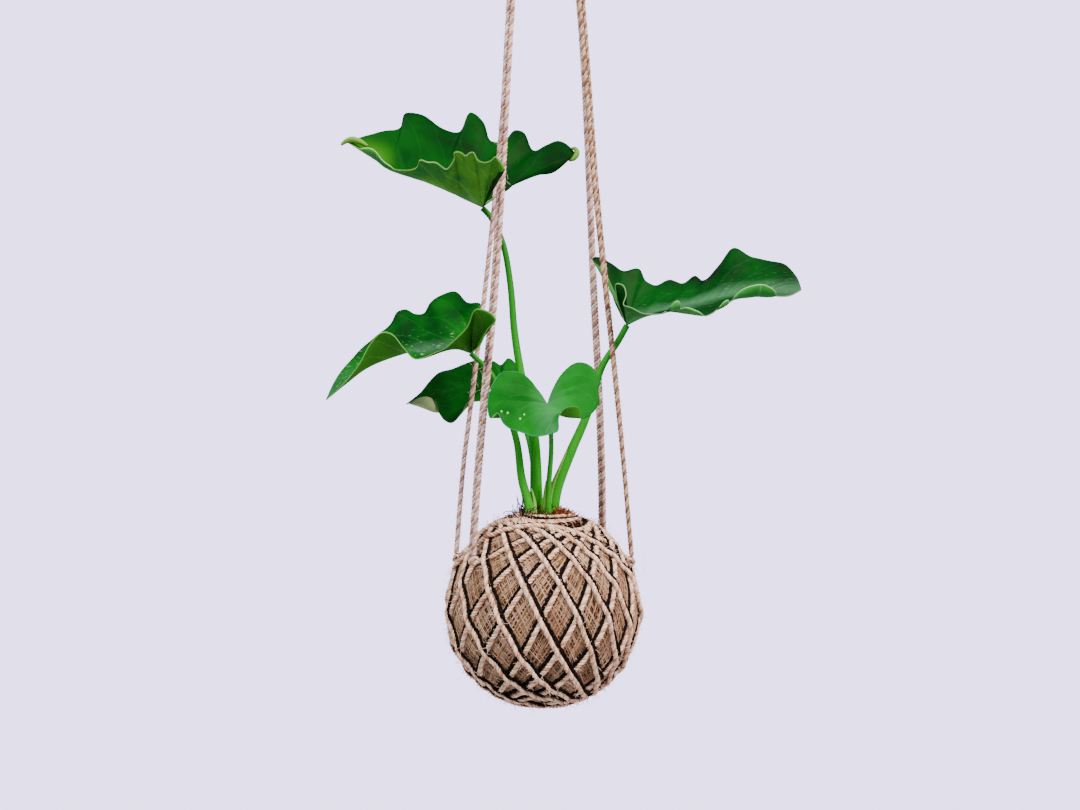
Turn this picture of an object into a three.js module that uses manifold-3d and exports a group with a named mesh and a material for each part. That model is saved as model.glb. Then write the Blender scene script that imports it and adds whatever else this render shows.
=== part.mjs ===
// A kokedama: a ball of soil and coir wound with jute, with five arrow-shaped leaves growing from its
// open collar, hung on eight strands of jute rope. Lengths are in millimetres, +Z is up, -Y is the front.
import * as THREE from "three";
import { mergeVertices } from "three/addons/utils/BufferGeometryUtils.js";
import Module from "manifold-3d";

const wasm = await Module();
wasm.setup();

// Driving sizes of the ball. Its centre is the origin of every shape below.
const SOIL_RADIUS = 69.3;
const FIT_GAP = 0.3;
const WRAP_THICKNESS = 1.2;
const WRAP_INNER = SOIL_RADIUS + FIT_GAP;
const WRAP_OUTER = WRAP_INNER + WRAP_THICKNESS;
const REST_FLAT_RADIUS = 16;
const COLLAR_POLAR_DEG = 24;
const MOUND_PROFILE = [[25, 65], [17, 69.5], [0, 72.5]];
const BALL_SEGMENTS = 28;
const BALL_LOWEST_POLAR_DEG = 158;
const BALL_STEP_DEG = 12;
const UNDERSIDE_SHARE = 0.955;

// The winding. Every turn is a great circle that touches the same small circle round the pole, and the list
// gives the azimuth at which each turn climbs over the equator, because a hand lays them unevenly.
const TURN_STARTS_DEG = [
  -45.5, -21.4, 1.2, 21.3, 39.4, 55.7, 82, 110.2, 134, 154.5, 176.4, 195.3, 215.7, 240, 264.5, 289,
];
const TURNS = TURN_STARTS_DEG.length;
const POLE_CIRCLE_DEG = 26.4;
const EVEN_ROW = 6;
const CORD_HALF_WIDTH = 2.1;
const CORD_UNDERSIDE = 73.0;
const CORD_RIDGE = 75.5;
const YARN_HALF_WIDTH = 1.7;
const YARN_UNDERSIDE = 71.4;
const YARN_RIDGE = 72.3;
const YARN_SHIFT = CORD_HALF_WIDTH + YARN_HALF_WIDTH;

// The rope hanger.
const ROPE_RADIUS = 1.8;
const PAIR_SPACING = 4;
const ROPE_STEPS = 10;
const ROPE_SIDES = 8;
const ROPE_FOOT_GAP = 0.65;
const ROPE_FOOT_OUT = 0.8;
const HITCH = { along: 6.5, out: 2.4, up: 4.2, sink: 0.2 };
const KNOT_BOTTOM = 670;
const KNOT_HEIGHT = 26;
const KNOT_RADIUS = 15;
const KNOT_GROOVE = 1.4;
const KNOT_ROUNDING = 2;
const KNOT_TURNS = 4;
const KNOT_SEGMENTS = 20;
const LOOP_HEIGHT = 44;
const LOOP_FOOT = { halfWidth: 5, depth: 4 };
const LOOP_THROAT = { halfWidth: 7.5, rise: 6 };
const LOOP_HALF_WIDTH = 11;
const LOOP_ROPE_RADIUS = 3.2;
const LOOP_STEPS = 20;

// The leaves.
const BLADE_THICKNESS = 0.9;
const BLADE_RINGS = 4;
const STALK_SIDES = 8;
const STALK_FOOT_Z = 60;
const STALK_STEPS = 9;

const RAD = Math.PI / 180;
const vec = (p) => new THREE.Vector3(...p);

// The ball is a sphere above its belly and is a little flatter below it.
const level = (z) => (z < 0 ? z * UNDERSIDE_SHARE : z);

// Joining and cutting of closed shapes.
function weld(geometry) {
  const bare = geometry.index ? geometry.toNonIndexed() : geometry.clone();
  for (const name of Object.keys(bare.attributes)) {
    if (name !== "position") bare.deleteAttribute(name);
  }
  return mergeVertices(bare, 1e-3);
}

function toSolid(geometry) {
  const merged = weld(geometry);
  const index = merged.index.array;
  const kept = [];
  for (let i = 0; i < index.length; i += 3) {
    const [a, b, c] = [index[i], index[i + 1], index[i + 2]];
    if (a !== b && b !== c && c !== a) kept.push(a, b, c);
  }
  return new wasm.Manifold(
    new wasm.Mesh({
      numProp: 3,
      vertProperties: merged.attributes.position.array,
      triVerts: new Uint32Array(kept),
    }),
  );
}

function toGeometry(solid) {
  const mesh = solid.getMesh();
  const positions = new Float32Array(mesh.numVert * 3);
  for (let i = 0; i < mesh.numVert; i++) {
    const start = i * mesh.numProp;
    positions.set(mesh.vertProperties.subarray(start, start + 3), i * 3);
  }
  const geometry = new THREE.BufferGeometry();
  geometry.setAttribute("position", new THREE.BufferAttribute(positions, 3));
  geometry.setIndex(new THREE.BufferAttribute(mesh.triVerts, 1));
  const flat = geometry.toNonIndexed();
  flat.computeVertexNormals();
  return flat;
}

// A profile of [radius, height] points that starts and ends on the axis, turned about Z.
function turned(profile, segments) {
  const lathe = new THREE.LatheGeometry(
    profile.map(([r, z]) => new THREE.Vector2(r, z)),
    segments,
  );
  return lathe.rotateX(Math.PI / 2);
}

// A round tube along a smooth path. Each ring of the extrusion is drawn in to the radius at its place.
function tube(points, radiusAt, steps, sides) {
  const path = new THREE.CatmullRomCurve3(points.map(vec), false, "centripetal");
  const ring = new THREE.Shape();
  for (let i = 0; i < sides; i++) {
    const angle = (2 * Math.PI * i) / sides;
    ring[i ? "lineTo" : "moveTo"](Math.cos(angle), Math.sin(angle));
  }
  ring.closePath();
  const extruded = new THREE.ExtrudeGeometry(ring, {
    extrudePath: path,
    steps,
    bevelEnabled: false,
    curveSegments: 1,
  });
  const centres = path.getSpacedPoints(steps);
  const place = extruded.attributes.position;
  const point = new THREE.Vector3();
  for (let i = 0; i < place.count; i++) {
    point.fromBufferAttribute(place, i);
    let nearest = 0;
    for (let k = 1; k <= steps; k++) {
      if (point.distanceTo(centres[k]) < point.distanceTo(centres[nearest])) nearest = k;
    }
    point.sub(centres[nearest]).multiplyScalar(radiusAt(nearest / steps)).add(centres[nearest]);
    place.setXYZ(i, point.x, point.y, point.z);
  }
  return extruded;
}

// The soil ball, with its coir mound in the collar and a flat underside.
function soilBall(holes) {
  const profile = [[0, level(-SOIL_RADIUS)], [REST_FLAT_RADIUS - 1, level(-SOIL_RADIUS)]];
  for (let polar = BALL_LOWEST_POLAR_DEG; polar > COLLAR_POLAR_DEG; polar -= BALL_STEP_DEG) {
    profile.push([SOIL_RADIUS * Math.sin(polar * RAD), level(SOIL_RADIUS * Math.cos(polar * RAD))]);
  }
  profile.push(...MOUND_PROFILE);
  let soil = toSolid(turned(profile, BALL_SEGMENTS));
  for (const hole of holes) soil = soil.subtract(toSolid(hole));
  return toGeometry(soil);
}

// The thread skin: a shell that is open at the collar and flat where the ball can be set down.
function threadSkin() {
  const wall = (radius, flatRadius, flatZ) => {
    const side = [[0, flatZ], [flatRadius, flatZ]];
    for (let polar = BALL_LOWEST_POLAR_DEG; polar > COLLAR_POLAR_DEG; polar -= BALL_STEP_DEG) {
      side.push([radius * Math.sin(polar * RAD), level(radius * Math.cos(polar * RAD))]);
    }
    const rim = COLLAR_POLAR_DEG * RAD;
    side.push([radius * Math.sin(rim), radius * Math.cos(rim)]);
    return side;
  };
  const outside = wall(WRAP_OUTER, REST_FLAT_RADIUS, level(-WRAP_OUTER));
  const inside = wall(WRAP_INNER, REST_FLAT_RADIUS - 0.7, level(-WRAP_INNER));
  return turned([...outside, ...inside.reverse()], BALL_SEGMENTS);
}

// Winding coordinates. A cord that leans left going up has a constant value lean = azimuth + turn, and one
// that leans right a constant value azimuth - turn, with turn from -90 to 90 degrees between the poles.
const POLE_TAN = Math.tan(POLE_CIRCLE_DEG * RAD);
const latitudeOf = (turn) => Math.atan(Math.sin(turn) / POLE_TAN);

function onBall(azimuth, latitude, radius) {
  return new THREE.Vector3(
    radius * Math.cos(latitude) * Math.sin(azimuth),
    -radius * Math.cos(latitude) * Math.cos(azimuth),
    level(radius * Math.sin(latitude)),
  );
}

// The lean of turn number n, where a half stands midway between two turns.
function turnStart(n) {
  const low = Math.floor(n);
  const start = (k) => {
    const place = ((k % TURNS) + TURNS) % TURNS;
    return (TURN_STARTS_DEG[place] + (360 * (k - place)) / TURNS) * RAD;
  };
  return THREE.MathUtils.lerp(start(low), start(low + 1), n - low);
}

// How many radians of lean one millimetre across a cord is worth, at the given turn.
function leanPerMm(turn) {
  const latitude = latitudeOf(turn);
  const climb = POLE_TAN / Math.cos(latitude) ** 2;
  const slope = climb / Math.sqrt(1 - (Math.tan(latitude) * POLE_TAN) ** 2);
  return Math.hypot(1 / Math.cos(latitude), slope) / CORD_UNDERSIDE;
}

// A net of two families of cords as one closed shape, with a roof-shaped ridge over every cord. Crossing i of
// a row is where turn i leans left over the far half of a turn that leans right. Towards the last row, where
// the cords lie close, the rows are drawn back to even heights.
function windingNet({ halfWidth, underside, ridge, shift, lowRow, highRow, midRows }) {
  const faces = [];
  const quad = (a, b, c, d) => faces.push(a, b, c, a, c, d);
  const crossing = (row, i) => {
    const left = turnStart(i);
    const right = turnStart(i - row + TURNS / 2) - Math.PI;
    const even = (row * Math.PI) / TURNS;
    const loose = Math.max(0, 1 - (row / EVEN_ROW) ** 2);
    const turn = THREE.MathUtils.lerp(even, (left - right) / 2, loose);
    return { azimuth: (left + right) / 2, turn: turn + shift * leanPerMm(turn) };
  };
  const spot = (row, i, a, b, radius) => {
    const { azimuth: middle, turn } = crossing(row, i);
    const width = halfWidth * leanPerMm(turn);
    const azimuth = middle + ((a + b) * width) / 2;
    return onBall(azimuth, latitudeOf(turn + ((a - b) * width) / 2), radius);
  };
  const corner = (row, i, a, b) => spot(row, i, a, b, underside);
  const centre = (row, i) => spot(row, i, 0, 0, ridge);
  for (let row = lowRow; row <= highRow; row++) {
    for (let i = 0; i < TURNS; i++) {
      const c = centre(row, i);
      const k = (a, b) => corner(row, i, a, b);
      quad(k(-1, -1), k(1, -1), k(1, 1), k(-1, 1));
      if (row === lowRow) {
        faces.push(c, k(-1, 1), k(1, 1));
        faces.push(c, k(-1, -1), k(-1, 1));
      } else {
        const next = (a, b) => corner(row - 1, i, a, b);
        const far = centre(row - 1, i);
        if (row <= midRows && row - 1 >= -midRows) {
          const mid = spot(row - 0.5, i, 0, 0, ridge);
          const edge = (a) => spot(row - 0.5, i, a, 0, underside);
          quad(c, mid, edge(1), k(1, 1));
          quad(k(-1, 1), edge(-1), mid, c);
          quad(mid, far, next(1, -1), edge(1));
          quad(edge(-1), next(-1, -1), far, mid);
          quad(k(-1, 1), k(1, 1), edge(1), edge(-1));
          quad(edge(-1), edge(1), next(1, -1), next(-1, -1));
        } else {
          quad(c, far, next(1, -1), k(1, 1));
          quad(k(-1, 1), next(-1, -1), far, c);
          quad(k(-1, 1), k(1, 1), next(1, -1), next(-1, -1));
        }
      }
      if (row === highRow) {
        faces.push(c, k(1, 1), k(1, -1));
        faces.push(c, k(1, -1), k(-1, -1));
      } else {
        const next = (a, b) => corner(row + 1, i + 1, a, b);
        const far = centre(row + 1, i + 1);
        if (row + 1 <= midRows && row >= -midRows) {
          const mid = spot(row + 0.5, i + 0.5, 0, 0, ridge);
          const edge = (b) => spot(row + 0.5, i + 0.5, 0, b, underside);
          quad(c, k(1, 1), edge(1), mid);
          quad(k(1, -1), c, mid, edge(-1));
          quad(mid, edge(1), next(-1, 1), far);
          quad(edge(-1), mid, far, next(-1, -1));
          quad(k(1, -1), edge(-1), edge(1), k(1, 1));
          quad(edge(-1), next(-1, -1), next(-1, 1), edge(1));
        } else {
          quad(c, k(1, 1), next(-1, 1), far);
          quad(k(1, -1), c, far, next(-1, -1));
          quad(k(1, -1), next(-1, -1), next(-1, 1), k(1, 1));
        }
      }
    }
  }
  const geometry = new THREE.BufferGeometry();
  const flat = new Float32Array(faces.flatMap((p) => [p.x, p.y, p.z]));
  return geometry.setAttribute("position", new THREE.BufferAttribute(flat, 3));
}

// The four hitches, each on a cord of the net. knot says where the pair enters the knot, and twist by how
// many degrees its two strands turn about each other on the way up. bow says how far sideways the pair
// stands off a straight line at each share of its height.
const HITCHES = [
  {
    azimuth: -54, latitude: 34, knot: [-9.5, -4], twist: 28,
    bow: [[0.1, 0], [0.2, 1.2], [0.3, 2.6], [0.42, 2.2], [0.65, 0]],
  },
  {
    azimuth: -90.5, latitude: 30, knot: [-9.6, 4.6], twist: 6,
    bow: [[0.1, -0.6], [0.2, 1.4], [0.36, 4.4], [0.53, 5], [0.75, 2.6]],
  },
  {
    azimuth: 89.7, latitude: 28, knot: [10, -4], twist: -72,
    bow: [[0.1, 0.3], [0.2, 0], [0.33, -1.2], [0.45, -1.8], [0.65, -0.2]],
  },
  {
    azimuth: 132.2, latitude: 31.6, knot: [9.6, 4.8], twist: -36,
    bow: [[0.08, 2.4], [0.2, 4.2], [0.32, 4.6], [0.45, 6], [0.62, 7], [0.82, 3.4]],
  },
];

function hitchCentre(hitch) {
  return onBall(hitch.azimuth * RAD, hitch.latitude * RAD, CORD_RIDGE - HITCH.sink);
}

// A hitch is a low lump of wound cord on the net, which the two strands of a pair come down to.
function hitchLump(hitch) {
  const lump = new THREE.SphereGeometry(1, 12, 8).rotateX(Math.PI / 2);
  lump.scale(HITCH.along, HITCH.out, HITCH.up).rotateZ(hitch.azimuth * RAD);
  const at = hitchCentre(hitch);
  return lump.translate(at.x, at.y, at.z);
}

function strandPoints(hitch, side) {
  const azimuth = hitch.azimuth * RAD;
  const foot = hitchCentre(hitch);
  const dip = 1 - (PAIR_SPACING / 2 / HITCH.along) ** 2;
  foot.z += HITCH.up * Math.sqrt(dip) + ROPE_FOOT_GAP;
  foot.x += ROPE_FOOT_OUT * Math.sin(azimuth);
  foot.y -= ROPE_FOOT_OUT * Math.cos(azimuth);
  const top = new THREE.Vector3(...hitch.knot, KNOT_BOTTOM - FIT_GAP);
  return [[0, 0], ...hitch.bow, [1, 0]].map(([share, sideways]) => {
    const turned = azimuth + hitch.twist * share * RAD;
    const point = foot.clone().lerp(top, share);
    point.x += sideways + (side * PAIR_SPACING * Math.cos(turned)) / 2;
    point.y += (side * PAIR_SPACING * Math.sin(turned)) / 2;
    return point.toArray();
  });
}

// The gathering knot with its round turns, and the loop over the hook.
function hangerKnot() {
  const profile = [[0, KNOT_BOTTOM], [KNOT_RADIUS - KNOT_ROUNDING, KNOT_BOTTOM]];
  const pitch = KNOT_HEIGHT / KNOT_TURNS;
  for (let turn = 0; turn < KNOT_TURNS; turn++) {
    const z = KNOT_BOTTOM + turn * pitch;
    profile.push([KNOT_RADIUS, z + pitch * 0.3], [KNOT_RADIUS, z + pitch * 0.7]);
    if (turn < KNOT_TURNS - 1) profile.push([KNOT_RADIUS - KNOT_GROOVE, z + pitch]);
  }
  const top = KNOT_BOTTOM + KNOT_HEIGHT;
  profile.push([KNOT_RADIUS - KNOT_ROUNDING, top], [0, top]);
  const crown = top + LOOP_HEIGHT - LOOP_ROPE_RADIUS;
  const shoulder = crown - LOOP_HALF_WIDTH;
  const corner = LOOP_HALF_WIDTH * Math.SQRT1_2;
  const rising = [
    [-LOOP_FOOT.halfWidth, 0, top - LOOP_FOOT.depth],
    [-LOOP_THROAT.halfWidth, 0, top + LOOP_THROAT.rise],
    [-LOOP_HALF_WIDTH, 0, shoulder],
    [-corner, 0, shoulder + corner],
  ];
  const falling = rising.map(([x, y, z]) => [-x, y, z]).reverse();
  const route = [...rising, [0, 0, crown], ...falling];
  const loop = tube(route, () => LOOP_ROPE_RADIUS, LOOP_STEPS, ROPE_SIDES);
  return toGeometry(toSolid(turned(profile, KNOT_SEGMENTS)).add(toSolid(loop)));
}

// The leaves. rib runs from the stalk's joint to the tip. far and near are the two margins, from the notch
// beside the joint, round the basal lobe and on to the tip. spokeStart is the share of a margin whose veins
// all start at the joint. cup is how far each half sinks below a straight line from rib to margin, and
// lobeRise how far the far and the near basal lobe stand above such a line.
const LEAVES = {
  leaf_top: {
    rib: [
      [-47, 12, 307], [-60, 6, 312], [-74, 0, 318], [-96, -4, 326], [-120, -7, 336], [-147, -8, 352],
    ],
    far: [
      [-42, 15, 312], [-28, 20, 322], [-19, 26, 332], [-8, 31, 338], [9, 34, 340], [23, 38, 353],
      [26, 41, 357], [13, 46, 369], [-7, 44, 360], [-15, 46, 375], [-23, 46, 377], [-31, 44, 368],
      [-42, 44, 368], [-48, 46, 384], [-59, 46, 392], [-67, 40, 374], [-81, 38, 377], [-98, 38, 388],
      [-110, 36, 388], [-113, 30, 375], [-124, 20, 369], [-136, 8, 362],
    ],
    near: [
      [-49, 4, 309], [-50, -8, 311], [-47, -24, 313], [-41, -38, 315], [-36, -46, 317], [-29, -50, 321],
      [-33, -50, 330], [-41, -48, 327], [-50, -46, 334], [-61, -43, 336], [-68, -38, 326],
      [-79, -36, 329], [-91, -33, 333], [-93, -27, 328], [-109, -22, 328], [-118, -18, 332],
      [-126, -16, 340], [-135, -12, 345],
    ],
    stalk: [
      [-5, 1, STALK_FOOT_Z], [-5, 1, 73], [-5.2, 1, 90], [-7, 3, 130], [-17, 7, 179], [-22, 9, 211],
      [-25, 11, 246], [-30, 14, 276], [-35, 15, 290], [-41, 14, 301], [-47, 12, 307],
    ],
    stalkRadii: [5.4, 2.3],
    spokeStart: 0.42,
    cup: 5,
    lobeRise: [6, 0],
  },
  leaf_left: {
    rib: [
      [-54, -10, 193], [-70, -10, 198], [-92, -9, 196], [-114, -8, 190], [-133, -7, 182],
      [-149, -7, 170], [-164, -6, 158],
    ],
    far: [
      [-56, -2, 198], [-55, 8, 209], [-51, 16, 222], [-49, 21, 234], [-59, 25, 235], [-69, 28, 244],
      [-80, 28, 242], [-89, 26, 235], [-94, 25, 227], [-101, 24, 226], [-108, 24, 230],
      [-114, 22, 228], [-119, 18, 218], [-137, 10, 201], [-148, 4, 188], [-157, -1, 175],
    ],
    near: [
      [-55, -20, 191], [-51, -36, 193], [-44, -48, 198], [-39, -54, 208], [-33, -58, 214],
      [-40, -55, 221], [-48, -50, 222], [-54, -44, 211], [-67, -40, 198], [-76, -36, 193],
      [-93, -33, 188], [-101, -30, 195], [-110, -27, 206], [-120, -22, 208], [-129, -17, 199],
      [-138, -14, 184], [-151, -10, 169],
    ],
    stalk: [
      [-10, -8.5, STALK_FOOT_Z], [-10, -8.5, 74], [-12, -8, 84], [-16, -8, 99], [-20, -8, 128],
      [-28, -10, 152], [-39, -13, 178], [-54, -10, 193],
    ],
    stalkRadii: [4.2, 2],
    spokeStart: 0.4,
    cup: 3,
    lobeRise: [2, 0],
  },
  leaf_rear: {
    rib: [[-34, 30, 174], [-58, 36, 170], [-83, 41, 165], [-111, 45, 155]],
    far: [
      [-28, 34, 177], [-20, 38, 181], [-22, 41, 188], [-28, 44, 192], [-34, 46, 187], [-41, 49, 190],
      [-59, 52, 190], [-71, 52, 185], [-86, 50, 180], [-100, 47, 164],
    ],
    near: [
      [-35, 25, 167], [-41, 20, 160], [-51, 17, 157], [-59, 18, 156], [-64, 20, 148], [-73, 24, 140],
      [-82, 30, 147], [-86, 35, 157], [-96, 40, 159],
    ],
    stalk: [
      [-4, 12, STALK_FOOT_Z], [-4, 12, 72], [-6, 13, 96], [-12, 18, 130], [-24, 26, 158],
      [-34, 30, 174],
    ],
    stalkRadii: [3, 1.7],
    spokeStart: 0.35,
    cup: 2,
    lobeRise: [2, 2],
  },
  leaf_front: {
    rib: [[3, -34, 155], [4, -46, 150], [5, -60, 143], [6, -74, 135]],
    far: [
      [6, -33, 157], [9, -30, 166], [15, -26, 178], [26, -25, 186], [36, -27, 182], [42, -30, 171],
      [40, -33, 165], [41, -36, 157], [36, -40, 149], [28, -43, 145], [25, -46, 153], [17, -52, 153],
      [11, -62, 147], [10, -72, 137],
    ],
    near: [
      [-1, -33, 157], [-7, -30, 164], [-12, -27, 175], [-21, -28, 179], [-30, -33, 178],
      [-38, -42, 167], [-40, -45, 154], [-38, -46, 145], [-33, -48, 149], [-28, -54, 141],
      [-14, -64, 135], [-4, -71, 133],
    ],
    stalk: [
      [4, -10, STALK_FOOT_Z], [4, -10, 74], [4, -11, 91], [6, -18, 121], [5, -28, 144], [3, -34, 155],
    ],
    stalkRadii: [2.6, 1.7],
    spokeStart: 0.5,
    cup: 2,
    lobeRise: [5, 2],
  },
  leaf_right: {
    rib: [
      [65, 12, 216], [86, 8, 226], [120, 4, 234], [158, 2, 242], [197, 0, 242],
    ],
    far: [
      [61, 14, 223], [55, 15, 236], [52, 15, 249], [47, 14, 259], [38, 14, 268], [45, 18, 270],
      [53, 22, 266], [63, 28, 261], [77, 34, 263], [82, 35, 254], [90, 36, 250], [101, 38, 255],
      [112, 38, 252], [122, 38, 258], [128, 36, 254], [140, 34, 265], [151, 30, 279], [166, 26, 271],
      [188, 16, 264], [195, 7, 253],
    ],
    near: [
      [62, 6, 220], [58, -4, 228], [55, -11, 236], [54, -15, 245], [59, -20, 243], [61, -23, 236],
      [59, -25, 228], [66, -27, 225], [75, -27, 221], [91, -26, 222], [102, -27, 225], [111, -27, 221],
      [120, -26, 220], [133, -24, 227], [141, -21, 232], [156, -15, 235], [174, -8, 236], [187, -4, 237],
    ],
    stalk: [
      [7, 3, STALK_FOOT_Z], [7, 3, 73], [10, 4, 90], [22, 6, 120], [33, 7, 145], [46, 9, 185],
      [57, 11, 202], [65, 12, 216],
    ],
    stalkRadii: [5.8, 2.5],
    spokeStart: 0.4,
    cup: 1,
    lobeRise: [2, 2],
  },
};

// The middle surface of a blade: a plane grid whose columns are the veins and whose rows run along the leaf.
function bladeSheet(leaf) {
  const rib = new THREE.CatmullRomCurve3(leaf.rib.map(vec), false, "centripetal");
  const tip = leaf.rib[leaf.rib.length - 1];
  const margins = [leaf.far, leaf.near].map(
    (points) => new THREE.CatmullRomCurve3([...points, tip].map(vec), false, "centripetal"),
  );
  const lengths = margins.map((margin) => margin.getLengths(200));
  const spokes = Math.max(leaf.far.length, leaf.near.length);
  const grid = new THREE.PlaneGeometry(1, 2, spokes, 2 * BLADE_RINGS);
  const place = grid.attributes.position;
  for (let i = 0; i < place.count; i++) {
    const along = place.getX(i) + 0.5;
    const out = place.getY(i);
    const side = out < 0 ? 1 : 0;
    const run = lengths[side][Math.round(along * 200)] / lengths[side][200];
    const ribShare = Math.max(0, (run - leaf.spokeStart) / (1 - leaf.spokeStart));
    const start = rib.getPointAt(ribShare);
    const end = margins[side].getPoint(along);
    const reach = Math.abs(out);
    const bodyShare = THREE.MathUtils.smoothstep(ribShare, 0, 0.25);
    const depth = THREE.MathUtils.lerp(-leaf.lobeRise[side], leaf.cup, bodyShare);
    const sink = depth * 4 * reach * (1 - reach) * Math.min(1, start.distanceTo(end) / 40);
    const point = start.lerp(end, reach);
    place.setXYZ(i, point.x, point.y, point.z - sink);
  }
  return weld(grid);
}

// A sheet with its thickness: the two faces have the same triangles, and a wall closes every open edge.
function thickened(sheet, thickness) {
  const source = sheet.index.array;
  const index = [];
  for (let i = 0; i < source.length; i += 3) {
    const [a, b, c] = [source[i], source[i + 1], source[i + 2]];
    if (a !== b && b !== c && c !== a) index.push(a, b, c);
  }
  sheet.setIndex(index);
  sheet.computeVertexNormals();
  const place = sheet.attributes.position;
  const normals = sheet.attributes.normal;
  const corner = (i, side) => {
    const point = new THREE.Vector3().fromBufferAttribute(place, i);
    const normal = new THREE.Vector3().fromBufferAttribute(normals, i);
    return point.addScaledVector(normal, (side * thickness) / 2);
  };
  const faces = [];
  const edges = new Map();
  for (let i = 0; i < index.length; i += 3) {
    const [a, b, c] = [index[i], index[i + 1], index[i + 2]];
    faces.push(corner(a, 1), corner(b, 1), corner(c, 1));
    faces.push(corner(a, -1), corner(c, -1), corner(b, -1));
    for (const [from, to] of [[a, b], [b, c], [c, a]]) {
      if (edges.has(to + ":" + from)) edges.delete(to + ":" + from);
      else edges.set(from + ":" + to, [from, to]);
    }
  }
  for (const [from, to] of edges.values()) {
    faces.push(corner(to, 1), corner(from, 1), corner(from, -1));
    faces.push(corner(to, 1), corner(from, -1), corner(to, -1));
  }
  const flat = new Float32Array(faces.flatMap((p) => [p.x, p.y, p.z]));
  const closed = new THREE.BufferGeometry();
  return closed.setAttribute("position", new THREE.BufferAttribute(flat, 3));
}

function stalkTube(leaf, extra) {
  const [foot, head] = leaf.stalkRadii;
  const radiusAt = (share) => extra + head + (foot - head) * (1 - share) ** 2;
  return tube(leaf.stalk, radiusAt, STALK_STEPS, STALK_SIDES);
}

function leafSolid(leaf) {
  const blade = toSolid(thickened(bladeSheet(leaf), BLADE_THICKNESS));
  return toGeometry(blade.add(toSolid(stalkTube(leaf, 0))));
}

// The hole that a stalk stands in: the stalk's own foot, a little wider and a little deeper.
function stalkHole(leaf) {
  return stalkTube(leaf, FIT_GAP + 0.05).translate(0, 0, -FIT_GAP);
}

const finishes = {
  soil: { color: 0x6a4020, roughness: 0.95 },
  thread: { color: 0xb8956b, roughness: 0.9 },
  yarn: { color: 0x1c1312, roughness: 0.9 },
  cord: { color: 0xd9bfa5, roughness: 0.85 },
  leaf: { color: 0x1a7a22, roughness: 0.45 },
  rope: { color: 0xcfb09a, roughness: 0.85 },
};

const plant = new THREE.Group();

function add(name, geometry, finish) {
  const material = new THREE.MeshStandardMaterial({ ...finishes[finish], metalness: 0 });
  const mesh = new THREE.Mesh(geometry, material);
  mesh.name = name;
  plant.add(mesh);
}

add("soil_core", soilBall(Object.values(LEAVES).map(stalkHole)), "soil");
add("twine_wrap", threadSkin(), "thread");
const yarn = windingNet({
  halfWidth: YARN_HALF_WIDTH,
  underside: YARN_UNDERSIDE,
  ridge: YARN_RIDGE,
  shift: YARN_SHIFT,
  lowRow: -6,
  highRow: 5,
  midRows: 3,
});
add("dark_yarn", yarn, "yarn");
const net = windingNet({
  halfWidth: CORD_HALF_WIDTH,
  underside: CORD_UNDERSIDE,
  ridge: CORD_RIDGE,
  shift: 0,
  lowRow: -6,
  highRow: 6,
  midRows: 3,
});
let netSolid = toSolid(net);
for (const hitch of HITCHES) netSolid = netSolid.add(toSolid(hitchLump(hitch)));
add("cord_net", toGeometry(netSolid), "cord");
for (const [name, leaf] of Object.entries(LEAVES)) add(name, leafSolid(leaf), "leaf");
HITCHES.forEach((hitch, h) => {
  [-1, 1].forEach((side, s) => {
    const strand = tube(strandPoints(hitch, side), () => ROPE_RADIUS, ROPE_STEPS, ROPE_SIDES);
    add("rope_" + (2 * h + s + 1), strand, "rope");
  });
});
add("hanger_knot", hangerKnot(), "rope");

// The plant hangs from the inside of the loop's crown, which is the origin of the finished part.
plant.position.z = -(KNOT_BOTTOM + KNOT_HEIGHT + LOOP_HEIGHT - 2 * LOOP_ROPE_RADIUS);

const part = new THREE.Group();
part.add(plant);

export default part;
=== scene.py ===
# %% [markdown]
# # A hanging kokedama
# A kokedama is a plant whose roots sit in a ball of soil and coir instead of a pot. This one is bound
# in fine jute thread, wound with sixteen turns of jute cord, and hung on eight strands of jute rope.
# The solids of the model are loaded first, as a fixed frame. Every piece below is made on top of them,
# in metres and in the same place, so nothing has to be fitted by eye.

# %% Load the solids
import random
from bisect import bisect_left
from math import cos, pi, radians, sin, sqrt, tau

import bmesh
import bpy
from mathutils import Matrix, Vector


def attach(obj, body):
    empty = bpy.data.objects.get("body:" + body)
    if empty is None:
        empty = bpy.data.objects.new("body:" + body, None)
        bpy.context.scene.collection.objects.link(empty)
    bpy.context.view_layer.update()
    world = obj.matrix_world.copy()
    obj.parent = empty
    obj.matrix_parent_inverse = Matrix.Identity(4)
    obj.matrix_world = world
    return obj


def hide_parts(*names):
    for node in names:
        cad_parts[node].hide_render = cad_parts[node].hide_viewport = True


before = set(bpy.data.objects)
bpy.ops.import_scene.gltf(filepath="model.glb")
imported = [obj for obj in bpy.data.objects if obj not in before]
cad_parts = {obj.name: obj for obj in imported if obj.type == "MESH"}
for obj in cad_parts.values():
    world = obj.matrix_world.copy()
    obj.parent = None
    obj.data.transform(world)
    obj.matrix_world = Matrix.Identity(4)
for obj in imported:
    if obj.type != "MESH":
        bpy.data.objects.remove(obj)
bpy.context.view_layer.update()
chance = random.Random(7)
between = chance.uniform
print("solids:", len(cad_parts))

# %% [markdown]
# The sizes below are those of the solids, in millimetres from the middle of the ball, because a grower
# thinks of the ball first. The finished object hangs from its loop, so one function moves a point down
# to the frame's origin and turns it to metres.

# %% Shared sizes and the step to metres
LIFT_MM = 733.6
WRAP_RADIUS = 70.8
CORD_RIDGE = 75.5
PRESSED_SHARE = 0.955


def link(thing):
    """Puts an object into the scene."""
    bpy.context.scene.collection.objects.link(thing)


def to_metres(point):
    """A point in millimetres from the ball's middle, as a place in the frame."""
    x, y, z = point
    return Vector((x, y, z - LIFT_MM)) / 1000


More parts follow.
